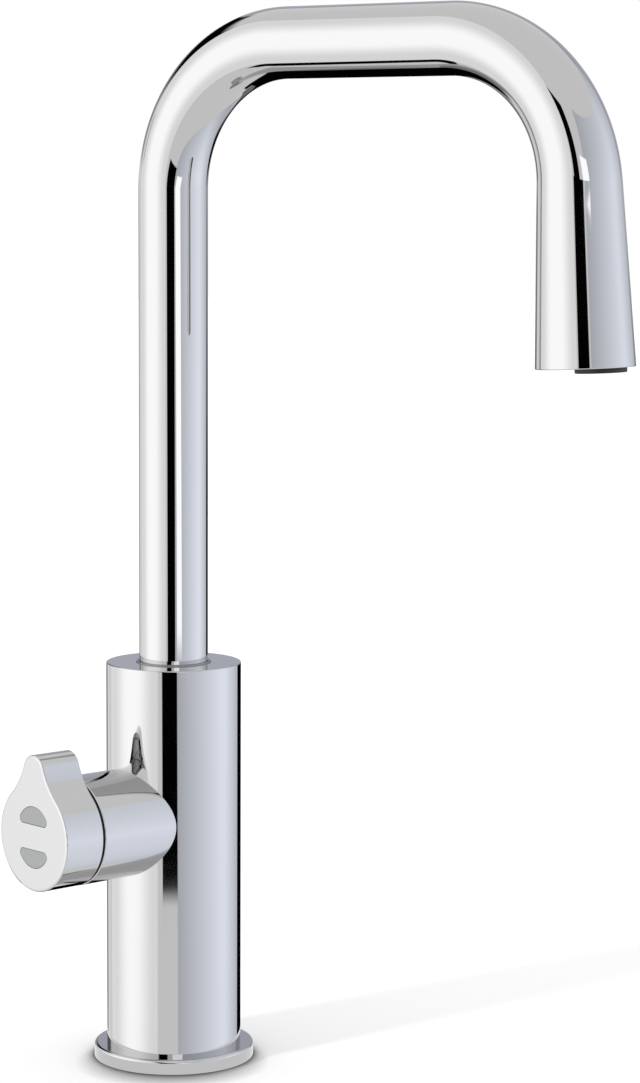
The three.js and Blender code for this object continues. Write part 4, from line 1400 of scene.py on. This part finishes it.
sides = [
    add_node(sky, "ShaderNodeMapRange", {
        "Value": azimuth, "From Min": math.radians(dull), "From Max": math.radians(pale),
    })
    for dull, pale in (FLAG_SIDE, FAR_SIDE)
]
ramp = add_node(sky, "ShaderNodeMath", {
    0: sides[0], 1: sides[1], 2: RAMP_SOFTNESS,
}, operation="SMOOTH_MIN")
off_level = add_node(sky, "ShaderNodeMath", {0: cool_fall}, operation="ABSOLUTE")
fade = add_node(sky, "ShaderNodeMapRange", {
    "Value": off_level, "From Max": math.radians(COOL_FADE), "To Min": 1, "To Max": 0,
})
paleness = add_node(sky, "ShaderNodeMath", {0: ramp, 1: fade}, operation="MULTIPLY")
cool = add_node(sky, "ShaderNodeMix", {
    0: paleness, 6: shown("#A0A3A9"), 7: shown("#DADEE9"),
}, data_type="RGBA")
laid_cool = add_node(sky, "ShaderNodeMix", {
    0: cool_share, 6: picture, 7: cool.outputs[2],
}, data_type="RGBA")
picture = laid_cool.outputs[2]

# %% [markdown]
# Before the tap stand two strip lights and the flag, all leaning to the left. The flag is the black
# stripe down the middle of every tube, and the strips are the white line at its right. What stands
# behind the tap shows only along the edges of the tubes, where the metal is seen at a low angle. Dark
# cards there draw a thin line that parts the chrome from the white background. A card hides the ones
# listed before it.

# %% The strips, the flag and the cards behind
CARDS = (
    # colour, azimuth, half width, foot, top, lean, softness of the sides, softness of foot and top
    ("#FBFBFB", 19.8, 8.2, -8.4, 0.8, -0.6, 1, 0.6),
    ("#FBFBFB", 10.6, 8.5, 8.2, 17, -0.6, 1, 0.1),
    ("#020202", -6, 12.9, -12.85, 8.3, -0.25, 1, 0.3),
    ("#020202", -17.7, 7.6, 7, 31.5, -0.55, 1, 1),
    ("#8A8C96", 180, 40, 3, 20, 0, 3, 2),
    ("#8E9096", 180, 40, 20, 36, 0, 3, 4),
    ("#77777C", -160, 14, 4, 16, 0, 1, 2),
    ("#8E8E92", -126, 2.5, 4, 12, 0, 1, 2),
    ("#66666A", -166, 13, -16, 1, 0, 1, 3),
    ("#606060", 168, 7, -45, -16, 0, 1, 3),
    ("#020202", 172, 7, -56.5, -46, 0, 1, 2),
    ("#030303", 164, 20, -20, -1, 0, 1, 9),
    ("#030303", 178, 7, -27, -15, 0, 1, 2),
    ("#020202", -147, 17, 15, 38, 0.8, 1, 6),
    ("#6A6A6A", -136, 10, -56, -21, 0, 1, 4),
    ("#020202", -167, 21.5, -56.5, -17, 0, 1, 2),
    ("#020202", -107, 10, -59, -45, -2.4, 1, 1),
)
for row in CARDS:
    picture = card(picture, *row)
print("cards:", len(CARDS))

# %% [markdown]
# Only what shines sees the cards. The camera sees plain white behind the tap, and everything matt is lit
# by that same plain white, so its colours come out as they are written.

# %% The sky
light_path = add_node(sky, "ShaderNodeLightPath")
seen = add_node(sky, "ShaderNodeMix", {
    0: light_path.outputs["Is Glossy Ray"], 6: linear("#FFFFFF"), 7: picture,
}, data_type="RGBA")
backdrop = add_node(sky, "ShaderNodeBackground", {"Color": seen.outputs[2], "Strength": 1})
add_node(sky, "ShaderNodeOutputWorld", {"Surface": backdrop})
print("nodes in the sky:", len(sky.nodes))

# %% [markdown]
# ## Camera
# The camera stands where the photograph was taken from. Its place and its lens were worked out from
# points whose real positions are known, such as the flange's rim, the column's top and the two bends.

# %% Camera
LENS_MM = 105.53
SENSOR_MM = 36
STAND = Vector((-0.7496, -0.9071, 0.3289))
pitch = 0.1129
roll = 0.0044
camera_data = bpy.data.cameras.new("camera")
camera_data.lens = LENS_MM
camera_data.sensor_fit = "VERTICAL"
camera_data.sensor_height = SENSOR_MM
camera = bpy.data.objects.new("camera", camera_data)
bpy.context.scene.collection.objects.link(camera)
look = heading * math.cos(pitch) - Vector((0, 0, math.sin(pitch)))
level_up = to_right.cross(look)
tipped_right = to_right * math.cos(roll) + level_up * math.sin(roll)
tipped_up = level_up * math.cos(roll) - to_right * math.sin(roll)
axes = Matrix((tipped_right, tipped_up, -look)).transposed()
camera.matrix_world = Matrix.Translation(STAND) @ axes.to_4x4()
bpy.context.scene.camera = camera
bpy.context.scene.view_settings.view_transform = "Standard"
print(f"the camera stands {STAND.length:.2f} m from the tap and {STAND.z:.2f} m above the worktop")
